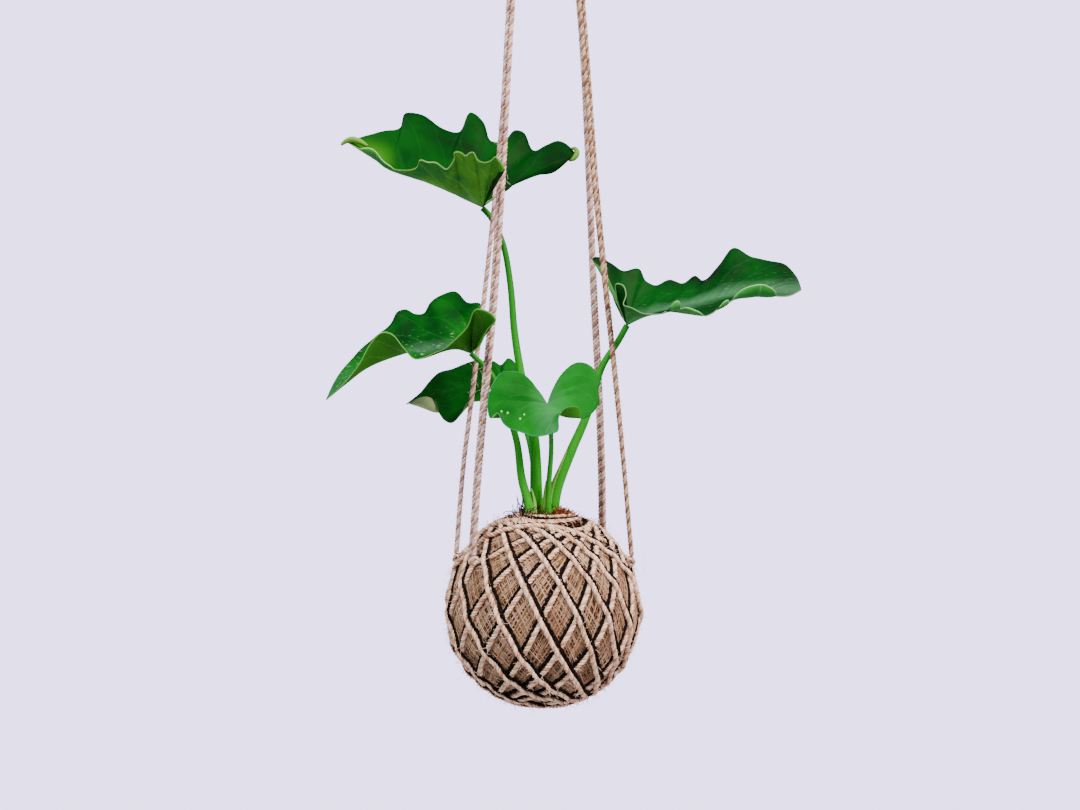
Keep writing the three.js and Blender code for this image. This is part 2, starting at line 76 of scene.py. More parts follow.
def settled(point):
    """The ball is a sphere above its belly and a little flatter below it, as it was pressed by hand."""
    return Vector((point.x, point.y, point.z * PRESSED_SHARE)) if point.z < 0 else point


def on_ball(azimuth, latitude, radius):
    """A point over the ball: azimuth 0 faces the viewer, and latitude 90 degrees is the top."""
    flat = radius * cos(latitude)
    return Vector((flat * sin(azimuth), -flat * cos(azimuth), radius * sin(latitude)))


def great_circle(start, slope):
    """Two directions that span a great circle: it crosses the belly at start and leans by slope."""
    return on_ball(radians(start), 0, 1), on_ball(radians(start - 90), radians(slope), 1)


# %% [markdown]
# The camera comes before the plant, because what it sees decides where the rope may end. It stands
# 0.7 m in front of the ball, level with the leaves. Its lens is the focal length in pixels, 920, as a
# share of the picture's 1080 pixels on a sensor 36 mm wide.

# %% Camera
camera_data = bpy.data.cameras.new("camera")
FOCAL_PIXELS, PICTURE_WIDTH_PIXELS, SENSOR_MM = 920, 1080, 36
CAMERA_PLACE = (-2.3, -700, 154.5)
camera_data.sensor_width = SENSOR_MM
camera_data.lens = SENSOR_MM * FOCAL_PIXELS / PICTURE_WIDTH_PIXELS
camera = bpy.data.objects.new("camera", camera_data)
camera.location = to_metres(CAMERA_PLACE)
camera.rotation_euler = (radians(90), 0, 0)
link(camera)
bpy.context.scene.camera = camera
print("camera height below the loop:", round(camera.location.z, 4))

# %% [markdown]
# ## Curves and cords
# Leaves, stalks and ropes all follow smooth curves through a few points. A centripetal Catmull-Rom
# curve passes through each point without the overshoot that a plain one shows at close corners.


# %% A smooth curve through points
CURVE_STEPS = 200


class SmoothCurve:
    """A centripetal Catmull-Rom curve through points given in millimetres."""

    def __init__(self, points):
        self.points = [Vector(p) for p in points]
        self.table = None

    def point(self, share):
        points = self.points
        place = (len(points) - 1) * min(max(share, 0.0), 1.0)
        i = min(int(place), len(points) - 2)
        t = place - i
        p1, p2 = points[i], points[i + 1]
        p0 = points[i - 1] if i > 0 else p1 * 2 - p2
        p3 = points[i + 2] if i + 2 < len(points) else p2 * 2 - p1
        d1 = (p1 - p2).length ** 0.5 or 1.0
        d0 = (p0 - p1).length ** 0.5 or d1
        d2 = (p2 - p3).length ** 0.5 or d1
        m1 = ((p1 - p0) / d0 - (p2 - p0) / (d0 + d1) + (p2 - p1) / d1) * d1
        m2 = ((p2 - p1) / d1 - (p3 - p1) / (d1 + d2) + (p3 - p2) / d2) * d1
        curved = (p2 - p1) * 3 - m1 * 2 - m2
        return p1 + m1 * t + curved * t ** 2 + (p1 * 2 - p2 * 2 + m1 + m2) * t ** 3

    def lengths(self):
        """The length up to each of its steps, worked out once."""
        if self.table is None:
            spots = [self.point(k / CURVE_STEPS) for k in range(CURVE_STEPS + 1)]
            self.table = [0.0]
            for a, b in zip(spots, spots[1:]):
                self.table.append(self.table[-1] + (b - a).length)
        return self.table

    def point_at(self, share):
        """The point at a share of the curve's own length."""
        table = self.lengths()
        goal = share * table[-1]
        k = bisect_left(table, goal, 1, len(table) - 1)
        span = table[k] - table[k - 1] or 1.0
        return self.point((k - 1 + (goal - table[k - 1]) / span) / (len(table) - 1))

    def walk(self, count):
        """Points a like distance apart, ends included."""
        return [self.point_at(k / count) for k in range(count + 1)]


# %% [markdown]
# A jute cord isn't a plain tube. Three plies lie round its middle like a screw, and the light on their
# turns is what makes it look like cord. A painted bump could fake them from afar, but here each ply is
# real: a thin curve that circles the cord's centreline, given thickness with a curve's bevel.


# %% Twisted plies and thin tubes
def ply_paths(centres, outward, pitch, reach, plies=3, start=0.0):
    """The centrelines of the plies of a cord: outward gives a direction across it at each centre."""
    paths = [[] for _ in range(plies)]
    run = 0.0
    for k, centre in enumerate(centres):
        ahead = centres[min(k + 1, len(centres) - 1)] - centres[max(k - 1, 0)]
        across = ahead.cross(outward[k]).normalized()
        up = across.cross(ahead).normalized()
        if k:
            run += (centre - centres[k - 1]).length
        for ply, path in enumerate(paths):
            angle = start + tau * (run / pitch + ply / plies)
            path.append(centre + reach * (cos(angle) * up + sin(angle) * across))
    return paths


def tube_mesh(name, runs, radii, resolution=1, closed=False, slots=None):
    """Round tubes as one mesh. radii is one radius, or a list with one for each run or a list by point."""
    radii = radii if isinstance(radii, list) else [radii] * len(runs)
    curve = bpy.data.curves.new(name, "CURVE")
    curve.dimensions = "3D"
    curve.bevel_depth = 0.001
    curve.bevel_resolution = resolution
    curve.use_fill_caps = not closed
    for _ in range(max(slots) + 1 if slots else 0):
        curve.materials.append(bpy.data.materials[0])
    for index, (run, radius) in enumerate(zip(runs, radii)):
        spline = curve.splines.new("POLY")
        spline.points.add(len(run) - 1)
        spline.points.foreach_set("co", [c for p in run for c in (*to_metres(p), 1.0)])
        sizes = radius if isinstance(radius, list) else [radius] * len(run)
        spline.points.foreach_set("radius", sizes)
        spline.use_cyclic_u = closed
        if slots:
            spline.material_index = slots[index]
    holder = bpy.data.objects.new(name, curve)
    mesh = bpy.data.meshes.new_from_object(holder)
    bpy.data.objects.remove(holder)
    bpy.data.curves.remove(curve)
    mesh.name = name
    mesh.polygons.foreach_set("use_smooth", [True] * len(mesh.polygons))
    return mesh


def finished_mesh(name, shape):
    """A bmesh as a smoothly shaded mesh. The bmesh is freed."""
    for face in shape.faces:
        face.smooth = True
    mesh = bpy.data.meshes.new(name)
    shape.to_mesh(mesh)
    shape.free()
    return mesh


def empty_slots(mesh, count):
    """Places for the finishes that place_piece fills in."""
    for _ in range(count):
        mesh.materials.append(None)


def join_meshes(name, meshes):
    """Several meshes as one, each keeping its place and its material numbers."""
    shape = bmesh.new()
    places = max(len(mesh.materials) for mesh in meshes)
    for mesh in meshes:
        shape.from_mesh(mesh)
        bpy.data.meshes.remove(mesh)
    joined = bpy.data.meshes.new(name)
    empty_slots(joined, places)
    shape.to_mesh(joined)
    shape.free()
    return joined


def place_piece(mesh, materials, replaces=()):
    """A finished mesh as an object that rides on the plant's one body."""
    piece = bpy.data.objects.new(mesh.name, mesh)
    link(piece)
    for place, material in enumerate(materials):
        if place < len(mesh.materials):
            mesh.materials[place] = material
        else:
            mesh.materials.append(material)
    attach(piece, "root")
    if replaces:
        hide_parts(*replaces)
    mesh.calc_loop_triangles()
    print(piece.name, "triangles:", len(mesh.loop_triangles))
    return piece


# %% [markdown]
# ## Finishes
# A painter names a colour by its hex code, which is sRGB, but a shader adds light in linear numbers.
# One function turns the one into the other, and one more adds a node with its settings and links. The
# short ones after it only call it, for the nodes that come again and again: a blend of two colours, a
# step of arithmetic, a ramp, a noise.


# %% Colour and node helpers
def linear(code):
    """An sRGB hex colour as the linear colour a shader reads."""
    parts = [int(code[k:k + 2], 16) / 255 for k in (1, 3, 5)]
    return [p / 12.92 if p <= 0.04045 else ((p + 0.055) / 1.055) ** 2.4 for p in parts] + [1.0]


def add_node(tree, kind, inputs=None, **settings):
    """A node with its settings, and with each input given a value or linked to a socket."""
    made = tree.nodes.new("ShaderNode" + kind)
    for name, value in settings.items():
        setattr(made, name, value)
    for name, value in (inputs or {}).items():
        if isinstance(value, bpy.types.NodeSocket):
            tree.links.new(value, made.inputs[name])
        else:
            made.inputs[name].default_value = value
    return made


def blend(tree, share, first, second):
    """The first colour where share is 0 and the second where it is 1. A colour may be a hex code."""
    pair = [linear(c) if isinstance(c, str) else c for c in (first, second)]
    return add_node(tree, "Mix", {0: share, 6: pair[0], 7: pair[1]}, data_type="RGBA").outputs[2]


def maths(tree, operation, *values):
    """One step of arithmetic on numbers or sockets."""
    return add_node(tree, "Math", dict(enumerate(values)), operation=operation).outputs[0]


def ramp(tree, value, start, end, top=1.0, **settings):
    """0 where value is at start or beyond it, rising to top where it is at end."""
    return add_node(tree, "MapRange", {0: value, 1: start, 2: end, 4: top}, **settings).outputs[0]


def noise(tree, place, scale, detail):
    """A noise that repeats about scale times in one unit of place."""
    return add_node(tree, "TexNoise", {"Vector": place, "Scale": scale, "Detail": detail}).outputs["Fac"]


def object_place(tree):
    return add_node(tree, "TexCoord").outputs["Object"]


def squeezed(tree, place, scale):
    """The place with each axis scaled, which draws a noise out into streaks along a short one."""
    return add_node(tree, "Mapping", {"Vector": place, "Scale": scale}).outputs[0]


def dress(tree, shader, colour, roughness, shine=None, height=None, deep=0.0004):
    """Joins a colour to the shader, with its roughness, its shine and a bump from a height."""
    tree.links.new(colour, shader.inputs["Base Color"])
    if height:
        bump = add_node(tree, "Bump", {"Strength": 0.35, "Distance": deep, "Height": height})
        tree.links.new(bump.outputs["Normal"], shader.inputs["Normal"])
    shader.inputs["Roughness"].default_value = roughness
    if shine is not None:
        shader.inputs["Specular IOR Level"].default_value = shine


def start_material(name):
    """An empty material with its shader joined to the output."""
    material = bpy.data.materials.new(name)
    material.use_nodes = True
    tree = material.node_tree
    tree.nodes.clear()
    shader = add_node(tree, "BsdfPrincipled")
    add_node(tree, "OutputMaterial", {"Surface": shader.outputs["BSDF"]})
    return material, tree, shader


# %% [markdown]
# Jute is a bast fibre: raw, matt, straw to pinkish brown, never of one colour for more than a few
# millimetres. Two noises give it that. A broad one, 12 mm in the rope and 2 to 26 mm elsewhere, fades
# between a light and a dark shade, and a fine one, about 0.5 mm, flecks the plies and roughens them
# with a bump.


# %% Jute finishes
FIBRE_MM = 0.5


def jute(name, light, dark, broad_mm=12.0):
    """Raw jute in two shades: dull, with fine flecks and a broad change of tone."""
    material, tree, shader = start_material(name)
    place = object_place(tree)
    broad = noise(tree, place, 1000 / broad_mm, 3.0)
    fibre = noise(tree, place, 1000 / FIBRE_MM / 2, 2.0)
    tone = maths(tree, "ADD", broad, fibre)
    colour = blend(tree, ramp(tree, tone, 0.75, 1.25), dark, light)
    dress(tree, shader, colour, 0.85, shine=0.1, height=fibre)
    return material


earlier = len(bpy.data.materials)
# Each darker ply finish is partly a darker ply and partly painted shade in the creases between plies.
cord_jute = jute("raw jute cord", "#f4dcc6", "#c89b79", broad_mm=9)
cord_dark_ply_and_crease_shade = jute("darker ply of the jute cord", "#d3a889", "#936748", broad_mm=9)
rope_jute = jute("twisted jute rope", "#e7d0c8", "#b58a7e")
# Darker rope ply: partly a darker ply, partly painted shade in the creases between plies.
rope_dark_ply_and_crease_shade = jute("darker ply of the jute rope", "#b68e79", "#785645")
# The far-right pair is given a browner, darker finish; its darker ply is partly painted crease shade.
rope_browner = jute("browner jute rope", "#cbb19a", "#957256")
browner_dark_ply_and_crease_shade = jute("darker ply of the browner rope", "#8a684c", "#553b24")
thread_jute = jute("fine jute thread", "#c0a088", "#7e5a45", broad_mm=26)
bed_jute_gap_shade = jute("jute felt under the thread", "#664930", "#33221a", broad_mm=4)
brown_thread = jute("fine brown thread", "#866843", "#462f18", broad_mm=20)
# Near-black yarn: partly a dark yarn, partly painted shade in the gap beside each cord.
dark_yarn = jute("dark brown yarn", "#100707", "#020202", broad_mm=6)
coir = jute("orange coir fibre", "#c47d48", "#7d3c18", broad_mm=2)
coir_bed = jute("matted brown coir", "#673e22", "#26140c", broad_mm=3)
root_skin = jute("dry root", "#33241a", "#150d08", broad_mm=4)
print("jute and fibre finishes:", len(bpy.data.materials) - earlier)

# %% [markdown]
# ## The rope hanger
# Eight strands carry the ball, two from each of four hitches on the net. They are pulled taut by the
# ball's weight, so each runs almost straight to the knot above the picture. The points repeat the
# solids' own route. Each strand is about 0.63 m long, and its three plies turn once in 9 mm. The pair
# at the far right is browner than the rest.

# %% Routes of the eight strands
HITCHES = [
    {
        "azimuth": -54.0, "latitude": 34.0, "knot": (-9.5, -4.0), "twist": 28,
        "bow": [(0.1, 0), (0.2, 1.2), (0.3, 2.6), (0.42, 2.2), (0.65, 0)],
    },
    {
        "azimuth": -90.5, "latitude": 30.0, "knot": (-9.6, 4.6), "twist": 6,
        "bow": [(0.1, -0.6), (0.2, 1.4), (0.36, 4.4), (0.53, 5), (0.75, 2.6)],
    },
    {
        "azimuth": 89.7, "latitude": 28.0, "knot": (10.0, -4.0), "twist": -72,
        "bow": [(0.1, 0.3), (0.2, 0), (0.33, -1.2), (0.45, -1.8), (0.65, -0.2)],
    },
    {
        "azimuth": 132.2, "latitude": 31.6, "knot": (9.6, 4.8), "twist": -36,
        "bow": [(0.08, 2.4), (0.2, 4.2), (0.32, 4.6), (0.45, 6), (0.62, 7), (0.82, 3.4)],
    },
]
HITCH_SINK, HITCH_UP, HITCH_ALONG = 0.2, 4.2, 6.5
FOOT_RAISE, FOOT_OUT, KNOT_GAP = 0.65, 0.8, 0.3
ROPE_RADIUS, PAIR_SPACING, ROPE_PITCH = 1.8, 4.0, 9.0
KNOT_BOTTOM, KNOT_HEIGHT, LOOP_HEIGHT = 670.0, 26.0, 44.0


def hitch_centre(hitch):
    azimuth, latitude = radians(hitch["azimuth"]), radians(hitch["latitude"])
    return on_ball(azimuth, latitude, CORD_RIDGE - HITCH_SINK)


def strand_route(hitch, side):
    azimuth = radians(hitch["azimuth"])
    foot = hitch_centre(hitch)
    foot.z += HITCH_UP * sqrt(1 - (PAIR_SPACING / 2 / HITCH_ALONG) ** 2) + FOOT_RAISE
    foot += on_ball(azimuth, 0, 1) * FOOT_OUT
    top = Vector((*hitch["knot"], KNOT_BOTTOM - KNOT_GAP))
    route = []
    for share, sideways in [(0, 0), *hitch["bow"], (1, 0)]:
        turned = azimuth + radians(hitch["twist"] * share)
        across = Vector((cos(turned), sin(turned), 0)) * (side * PAIR_SPACING / 2)
        route.append(foot.lerp(top, share) + across + Vector((sideways, 0, 0)))
    return SmoothCurve(route)


routes = [strand_route(hitch, side) for hitch in HITCHES for side in (-1, 1)]
print("strand lengths in mm:", [round(route.lengths()[-1]) for route in routes])

# %% [markdown]
# The gathering knot is a whipping: a thicker rope wound five times round the bundle of strands. A loop
# of rope comes out of its top, to go over a hook. It stands in place of the solids' grooved drum.

# %% Gathering knot and loop
KNOT_ROPE, WHIP_RADIUS, WHIP_TURNS, WHIP_STEPS = 2.7, 12.0, 5, 200
whip = []
for k in range(WHIP_STEPS + 1):
    angle = tau * WHIP_TURNS * k / WHIP_STEPS
    z = KNOT_BOTTOM + KNOT_ROPE + (KNOT_HEIGHT - 2 * KNOT_ROPE) * k / WHIP_STEPS
    whip.append(Vector((WHIP_RADIUS * cos(angle), WHIP_RADIUS * sin(angle), z)))
crown = KNOT_BOTTOM + KNOT_HEIGHT + LOOP_HEIGHT - 3.2
loop_side = [(-5, 0, crown - 42), (-7.5, 0, crown - 34.8), (-11, 0, crown - 11), (-7.8, 0, crown - 3.2)]
loop_route = SmoothCurve(loop_side + [(0, 0, crown)] + [(-x, y, z) for x, y, z in reversed(loop_side)])
loop_line = loop_route.walk(150)
whip_plies = ply_paths(whip, [Vector((p.x, p.y, 0)) for p in whip], pitch=14, reach=1.35)
loop_plies = ply_paths(loop_line, [Vector((0, 1, 0))] * len(loop_line), pitch=15, reach=1.55)
core = [[Vector((0, 0, KNOT_BOTTOM + 0.5)), Vector((0, 0, KNOT_BOTTOM + KNOT_HEIGHT - 0.5))]]
mesh = join_meshes("gathering_knot", [
    tube_mesh("whip", whip_plies, 1.4), tube_mesh("loop", loop_plies, 1.65),
    tube_mesh("core", core, 11.0, resolution=8),
])
knot = place_piece(mesh, [rope_jute], ["hanger_knot"])

# %% Strands of rope
STEPS_A_TURN, BROWNER_STRANDS = 7, (4, 5)
for index, route in enumerate(routes):
    length = route.lengths()[-1]
    centres = route.walk(round(length / ROPE_PITCH * STEPS_A_TURN))
    plies = ply_paths(centres, [Vector((0, 1, 0))] * len(centres), ROPE_PITCH, 1.0, start=index * 1.3)
    name = "rope_strand_%d" % (index + 1)
    # The third ply takes the darker finish: partly darker ply, partly painted crease shade.
    mesh = tube_mesh(name, plies, 0.93, slots=[0, 0, 1])
    finishes = [rope_browner, browner_dark_ply_and_crease_shade] if index in BROWNER_STRANDS else [rope_jute, rope_dark_ply_and_crease_shade]
    strand = place_piece(mesh, finishes, ["rope_%d" % (index + 1)])
    to_metres(centres[0])
    [to_metres(p) for p in centres]

# %% [markdown]
# ## The wound ball
# Every turn of the cord is a great circle, like the seam of a ball. No two have quite the same slope,
# and they cross the belly at uneven places, because they were laid by hand. So each turn is given by
# the azimuth where it climbs over the belly and by its slope. A turn that was wound later passes over
# each one that was wound before it: it rises over the other's cord and yarn, which are pressed down.
# A cord that carries a hitch is drawn up to it.

# %% The sixteen turns and their crossings
TURN_LINES = [
    (-45.5, 58), (-21.4, 61), (1.2, 63.4), (21.3, 65.8), (39.4, 68), (55.7, 69), (82, 64), (110.2, 59),
    (134, 59), (154.5, 60), (176.4, 62), (195.3, 61), (215.7, 59), (240, 67), (264.5, 70), (289, 66),
]
RISE_REACH, SINK_REACH = 11.0, 6.5
frames = []
for start, slope in TURN_LINES:
    first, second = great_circle(start, slope)
    frames.append((first, second, second.cross(first), (start - 90) % 360))


def turn_place(turn, arc, aside=0.0):
    """The direction of a point of a turn. aside moves it towards its upper side, in radians."""
    first, second, upper, _ = frames[turn]
    return (first * cos(arc) + second * sin(arc)) * cos(aside) + upper * sin(aside)


HITCH_REACH = 17.0
pulls = []
for hitch in HITCHES:
    hold = hitch_centre(hitch)
    pulled = min(range(len(frames)), key=lambda turn: abs(hold.dot(frames[turn][2]) - 1.0))
    pulls.append((hold, pulled))
print("turns that carry the hitches:", [pulled for _, pulled in pulls])


def fade(gap, reach):
    """1 where there is no gap, falling softly to 0 where the gap is reach or more."""
    return cos(gap / reach * pi / 2) ** 2 if gap < reach else 0.0


def pull(turn, spot, aside):
    """How far a hitch drags a spot of the cord or yarn that it holds."""
    moved = Vector((0, 0, 0))
    for hold, pulled in pulls:
        if pulled == turn:
            upper = frames[turn][2]
            across = hold.dot(upper) - spot.dot(upper) + aside
            drag = upper * across + spot.normalized() * (hold.length - spot.length)
            moved += fade((hold - spot).length, HITCH_REACH) * drag
    return moved


def press(turn, spot, rise, sink):
    """How far a turn rises or sinks at a spot, from all the pairs of cord and yarn it meets there."""
    up, down, own = 0.0, 0.0, frames[turn][3]
    for _, _, upper, order in frames:
        gap = abs(spot.dot(upper) * WRAP_RADIUS - 1.0)
        if own > order:
            up = max(up, fade(gap, RISE_REACH))
        elif own < order:
            down = max(down, fade(gap, SINK_REACH))
    return rise * up - sink * down


# %% [markdown]
# The cord is 3.8 mm thick and its plies turn once in about 8 mm. Beside it, on its upper side, lies
# one yarn of two plies, thinner and flatter than the cord. It is near-black: partly a dark yarn, partly
# painted shade in the gap beside the cord. The two were laid down together, so the yarn goes over and
# under with its cord, and it draws a dark line along it that makes the pattern stand out. A few
# wavering rings of cord and yarn lie round the open collar at the top.


# %% Cord and yarn, turn by turn
def closed_plies(centres, turns_of_ply, thick, high, plies):
    """The plies of a closed cord: thick is how far they reach across it and high how far outward."""
    count, paths = len(centres), [[] for _ in range(plies)]
    for k, spot in enumerate(centres):
        ahead = centres[(k + 1) % count] - centres[k - 1]
        outward = spot.normalized()
        across = ahead.cross(outward).normalized()
        for ply, path in enumerate(paths):
            angle = tau * (turns_of_ply * k / count + ply / plies)
            path.append(spot + high * cos(angle) * outward + thick * sin(angle) * across)
    return paths


def wound_plies(turn, count, aside, centre, rise, sink, **lay):
    """The plies of one closed turn, for a cord or for a yarn laid aside of it."""
    drift = between(0, 6)
    centres = []
    for k in range(count):
        arc = tau * k / count
        waver = 0.005 * sin(3 * arc + drift) + 0.003 * sin(7 * arc + 2 * drift)
        spot = turn_place(turn, arc, aside + waver)
        place = settled(spot * (centre + press(turn, spot, rise, sink)))
        centres.append(place + pull(turn, place, aside * centre))
    return closed_plies(centres, **lay)


CORD_LAY = {"turns_of_ply": 60, "thick": 1.0, "high": 1.0, "plies": 3}
YARN_LAY = {"turns_of_ply": 46, "thick": 0.95, "high": 0.4, "plies": 2}
YARN_ASIDE = 3.1 / WRAP_RADIUS
cord_runs, yarn_runs = [], []
for turn in range(len(TURN_LINES)):
    cord_runs += wound_plies(turn, 360, 0.0, centre=72.7, rise=1.9, sink=0.9, **CORD_LAY)
    yarn_runs += wound_plies(turn, 220, YARN_ASIDE, centre=71.9, rise=2.5, sink=0.4, **YARN_LAY)
collar_runs, collar_yarn = [], []
COLLAR_STEPS, COLLAR_PLY_TURNS, COLLAR_BED = 150, 20, 72.6
COLLAR = [
    (20.5, 2.6, 0.4, 1.2, True), (23.5, 2.2, 2.1, 0.6, True), (26.5, 2.4, 4.0, 0.2, True),
    (29.5, 1.6, 5.2, 0.8, True), (22.5, 3.4, 1.2, 1.6, False), (27.5, 3.4, 3.4, 1.4, False),
]
for reach, lean, drift, rise, light in COLLAR:
    line = []
    for k in range(COLLAR_STEPS):
        angle = tau * k / COLLAR_STEPS
        out = reach + lean * sin(angle + drift) + 0.5 * sin(4 * angle + drift)
        height = sqrt(COLLAR_BED ** 2 - out ** 2) + rise
        line.append(Vector((out * cos(angle), out * sin(angle), height)))
    if light:
        collar_runs += closed_plies(line, COLLAR_PLY_TURNS, 1.0, 1.0, 3)
    else:
        collar_yarn += closed_plies(line, COLLAR_PLY_TURNS, 0.6, 0.6, 2)
# Every third ply takes the darker finish: partly darker ply, partly painted crease shade.
mesh = tube_mesh("collar_cord", collar_runs, 0.9, closed=True, slots=[0, 0, 1] * 4)
place_piece(mesh, [cord_jute, cord_dark_ply_and_crease_shade])
# The collar yarn is near-black: partly dark yarn, partly painted gap shade.
place_piece(tube_mesh("collar_yarn", collar_yarn, 0.7, closed=True), [dark_yarn])
half = len(cord_runs) // 2
for name, runs in (("wound_cord", cord_runs[:half]), ("wound_cord_later", cord_runs[half:])):
    # Every third ply takes the darker finish: partly darker ply, partly painted crease shade.
    mesh = tube_mesh(name, runs, 0.9, closed=True, slots=[0, 0, 1] * (half // 3))
    place_piece(mesh, [cord_jute, cord_dark_ply_and_crease_shade], ["cord_net"])
# The yarn beside each cord is near-black: partly dark yarn, partly painted gap shade.
mesh = tube_mesh("dark_yarn_and_gap_shade_lines", yarn_runs, 0.72, closed=True)
place_piece(mesh, [dark_yarn], ["dark_yarn"])

# %% [markdown]
# Each pair of strands is hitched round a cord of the net. A hitch is two and a half tight turns of
# rope, side by side, drawn out into an oval because the cord inside it is pulled upwards.

# %% Hitches
HITCH_TURNS, HITCH_STEPS, HITCH_HALF_WIDTH = 2.5, 60, 3.4
hitch_runs = []
for hitch in HITCHES:
    azimuth = radians(hitch["azimuth"])
    across, outward = Vector((cos(azimuth), sin(azimuth), 0)), on_ball(azimuth, 0, 1)
    line, facing = [], []
    for k in range(HITCH_STEPS + 1):
        angle = tau * HITCH_TURNS * k / HITCH_STEPS
        swing = outward * (2.2 * cos(angle)) + Vector((0, 0, 2.6 * sin(angle)))
        line.append(hitch_centre(hitch) + swing + across * ((2 * k / HITCH_STEPS - 1) * HITCH_HALF_WIDTH))
        facing.append(swing)
    hitch_runs += ply_paths(line, facing, ROPE_PITCH, reach=0.72)
# Two plies in three take the darker finish: partly darker ply, partly painted crease shade.
mesh = tube_mesh("rope_hitches", hitch_runs, 0.78, slots=[1, 0, 1] * len(HITCHES))
place_piece(mesh, [rope_jute, rope_dark_ply_and_crease_shade])

# %% [markdown]
# The diamonds between the cords are filled with fine thread, wound in the same two directions. A
# texture could draw it, but real threads catch the light and leave dark gaps. Each has only four
# sides, because there are many of them.

# %% Fine thread
THREAD_TURNS, THREAD_STEPS = 400, 64
thread_runs = []
for turn in range(THREAD_TURNS):
    start = 360 * turn / THREAD_TURNS + between(-1.6, 1.6)
    slope = 61 + 5 * sin(radians(2 * start)) + between(-7.0, 5.0)
    first, second = great_circle(start, slope)
    radius = WRAP_RADIUS + between(0.0, 0.6)
    run = []
    for k in range(THREAD_STEPS):
        arc = tau * k / THREAD_STEPS
        lift = radius + 0.2 * sin(k * 1.9 + turn)
        run.append(settled((first * cos(arc) + second * sin(arc)) * lift))
    thread_runs.append(run)
thread_sizes = [between(0.3, 0.48) for _ in thread_runs]
for part, finish in enumerate((thread_jute, brown_thread, thread_jute)):
    name, runs, sizes = "fine_thread_%d" % (part + 1), thread_runs[part::3], thread_sizes[part::3]
    place_piece(tube_mesh(name, runs, sizes, 0, True), [finish])

# %% [markdown]
# Those turns all lean, so none of them crosses the bottom of the ball, and it would show bare from
# below. Shorter runs of the same thread are laid over it in every direction. Each goes straight across
# and is dropped onto the sphere, a little outside the others, because it was wound last. The solids of
# the wrap and the soil stay under all this and show in its gaps, as matted coir and as a dark jute bed
# whose darkness is painted shade in the gaps between the threads.

# %% Thread over the underside
UNDERSIDE_RUNS, UNDERSIDE_STEPS, UNDERSIDE_ASIDE, UNDERSIDE_HALF = 110, 16, 27.0, 34.0
under_runs = []
for _ in range(UNDERSIDE_RUNS):
    heading, aside = radians(between(0, 360)), between(-UNDERSIDE_ASIDE, UNDERSIDE_ASIDE)
    ahead = Vector((cos(heading), sin(heading), 0))
    across = Vector((-sin(heading), cos(heading), 0))
    radius, run = WRAP_RADIUS + between(0.7, 1.3), []
    for k in range(UNDERSIDE_STEPS + 1):
        flat = across * aside + ahead * (UNDERSIDE_HALF * (2 * k / UNDERSIDE_STEPS - 1))
        drop = sqrt(max(0.0, radius ** 2 - flat.length_squared))
        run.append(settled(flat - Vector((0, 0, drop))))
    under_runs.append(run)
under_sizes = [between(0.3, 0.46) for _ in under_runs]
place_piece(tube_mesh("underside_thread", under_runs, under_sizes, 0), [thread_jute])
# The wrap's dark jute is painted shade in the gaps between the threads.
for name, finish in (("twine_wrap", bed_jute_gap_shade), ("soil_core", coir_bed)):
    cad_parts[name].data.materials.clear()
    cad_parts[name].data.materials.append(finish)

# %% [markdown]
# The collar is open, and the ball's filling shows in it: coir, the springy fibre of coconut husk. It
# is mostly dark and matted, with a fresher orange tuft beside the stalks. Dry roots stand up on the
# other side, and loose ends of thread stick out in front. Each fibre is a thin tube of four sides, bent
# at random, that starts in or beside the mound.


# %% A bent fibre
def fibre(start, ahead, length, bend, steps=5):
    """Points of a loose fibre that leaves start in the direction ahead and bends as it goes."""
    points, spot, step = [start], start.copy(), length / steps
    ahead = ahead.normalized()
    for _ in range(steps):
        sway = Vector((between(-1, 1), between(-1, 1), between(-1, 1)))
        ahead = (ahead + sway * bend).normalized()
        spot = spot + ahead * step
        points.append(spot)
    return points


MOUND_TOP, MOUND_DROP, MOUND_RADIUS, MOUND_SLOPE = 72.5, 3.0, 17, 0.55


def mound_height(reach):
    """The height of the coir mound at a distance from the ball's axis: round, then sloping away."""
    if reach < MOUND_RADIUS:
        return MOUND_TOP - MOUND_DROP * (reach / MOUND_RADIUS) ** 2
    return MOUND_TOP - MOUND_DROP - (reach - MOUND_RADIUS) * MOUND_SLOPE


# %% Coir mound
def loose_fibres(count, middle, spread, aims, lengths, bend, steps=5):
    """Fibres that start round a place and aim at random between the given limits."""
    made = []
    for _ in range(count):
        x, y, z = middle
        start = Vector((x + chance.gauss(0, spread[0]), y + chance.gauss(0, spread[1]), z))
        ahead = Vector([between(*limits) for limits in aims])
        made.append(fibre(start, ahead, between(*lengths), bend, steps))
    return made


MATTED_COUNT, MATTED_REACH = 1100, 24
matted = []
for _ in range(MATTED_COUNT):
    angle, reach = between(0, tau), MATTED_REACH * sqrt(chance.random())
    start = Vector((reach * cos(angle), reach * sin(angle), mound_height(reach) - 0.6))
    turned = angle + between(-2.2, 2.2)
    ahead = Vector((cos(turned), sin(turned), between(-0.15, 0.5)))
    matted.append(fibre(start, ahead, between(5, 14), 0.45))
tuft = loose_fibres(420, (14, -5, 70.5), (3.0, 3), [(-1, 1), (-1, 0.7), (0.0, 0.9)], (4, 9), 0.7)
roots = loose_fibres(26, (-9, -5, 69), (3.2, 5), [(-1.4, 0.4), (-1, 0.5), (0.6, 1.6)], (8, 17), 0.5, 7)
roots += loose_fibres(
    18, (-15, -12, 68), (3.2, 3), [(-0.35, 0.45), (-0.6, 0.2), (0.9, 1.5)], (12, 21), 0.5, 9)
straw = loose_fibres(36, (-6, -14, 69), (6, 2), [(-1, 1), (-0.8, 0.2), (0.2, 1)], (4, 9), 0.5)
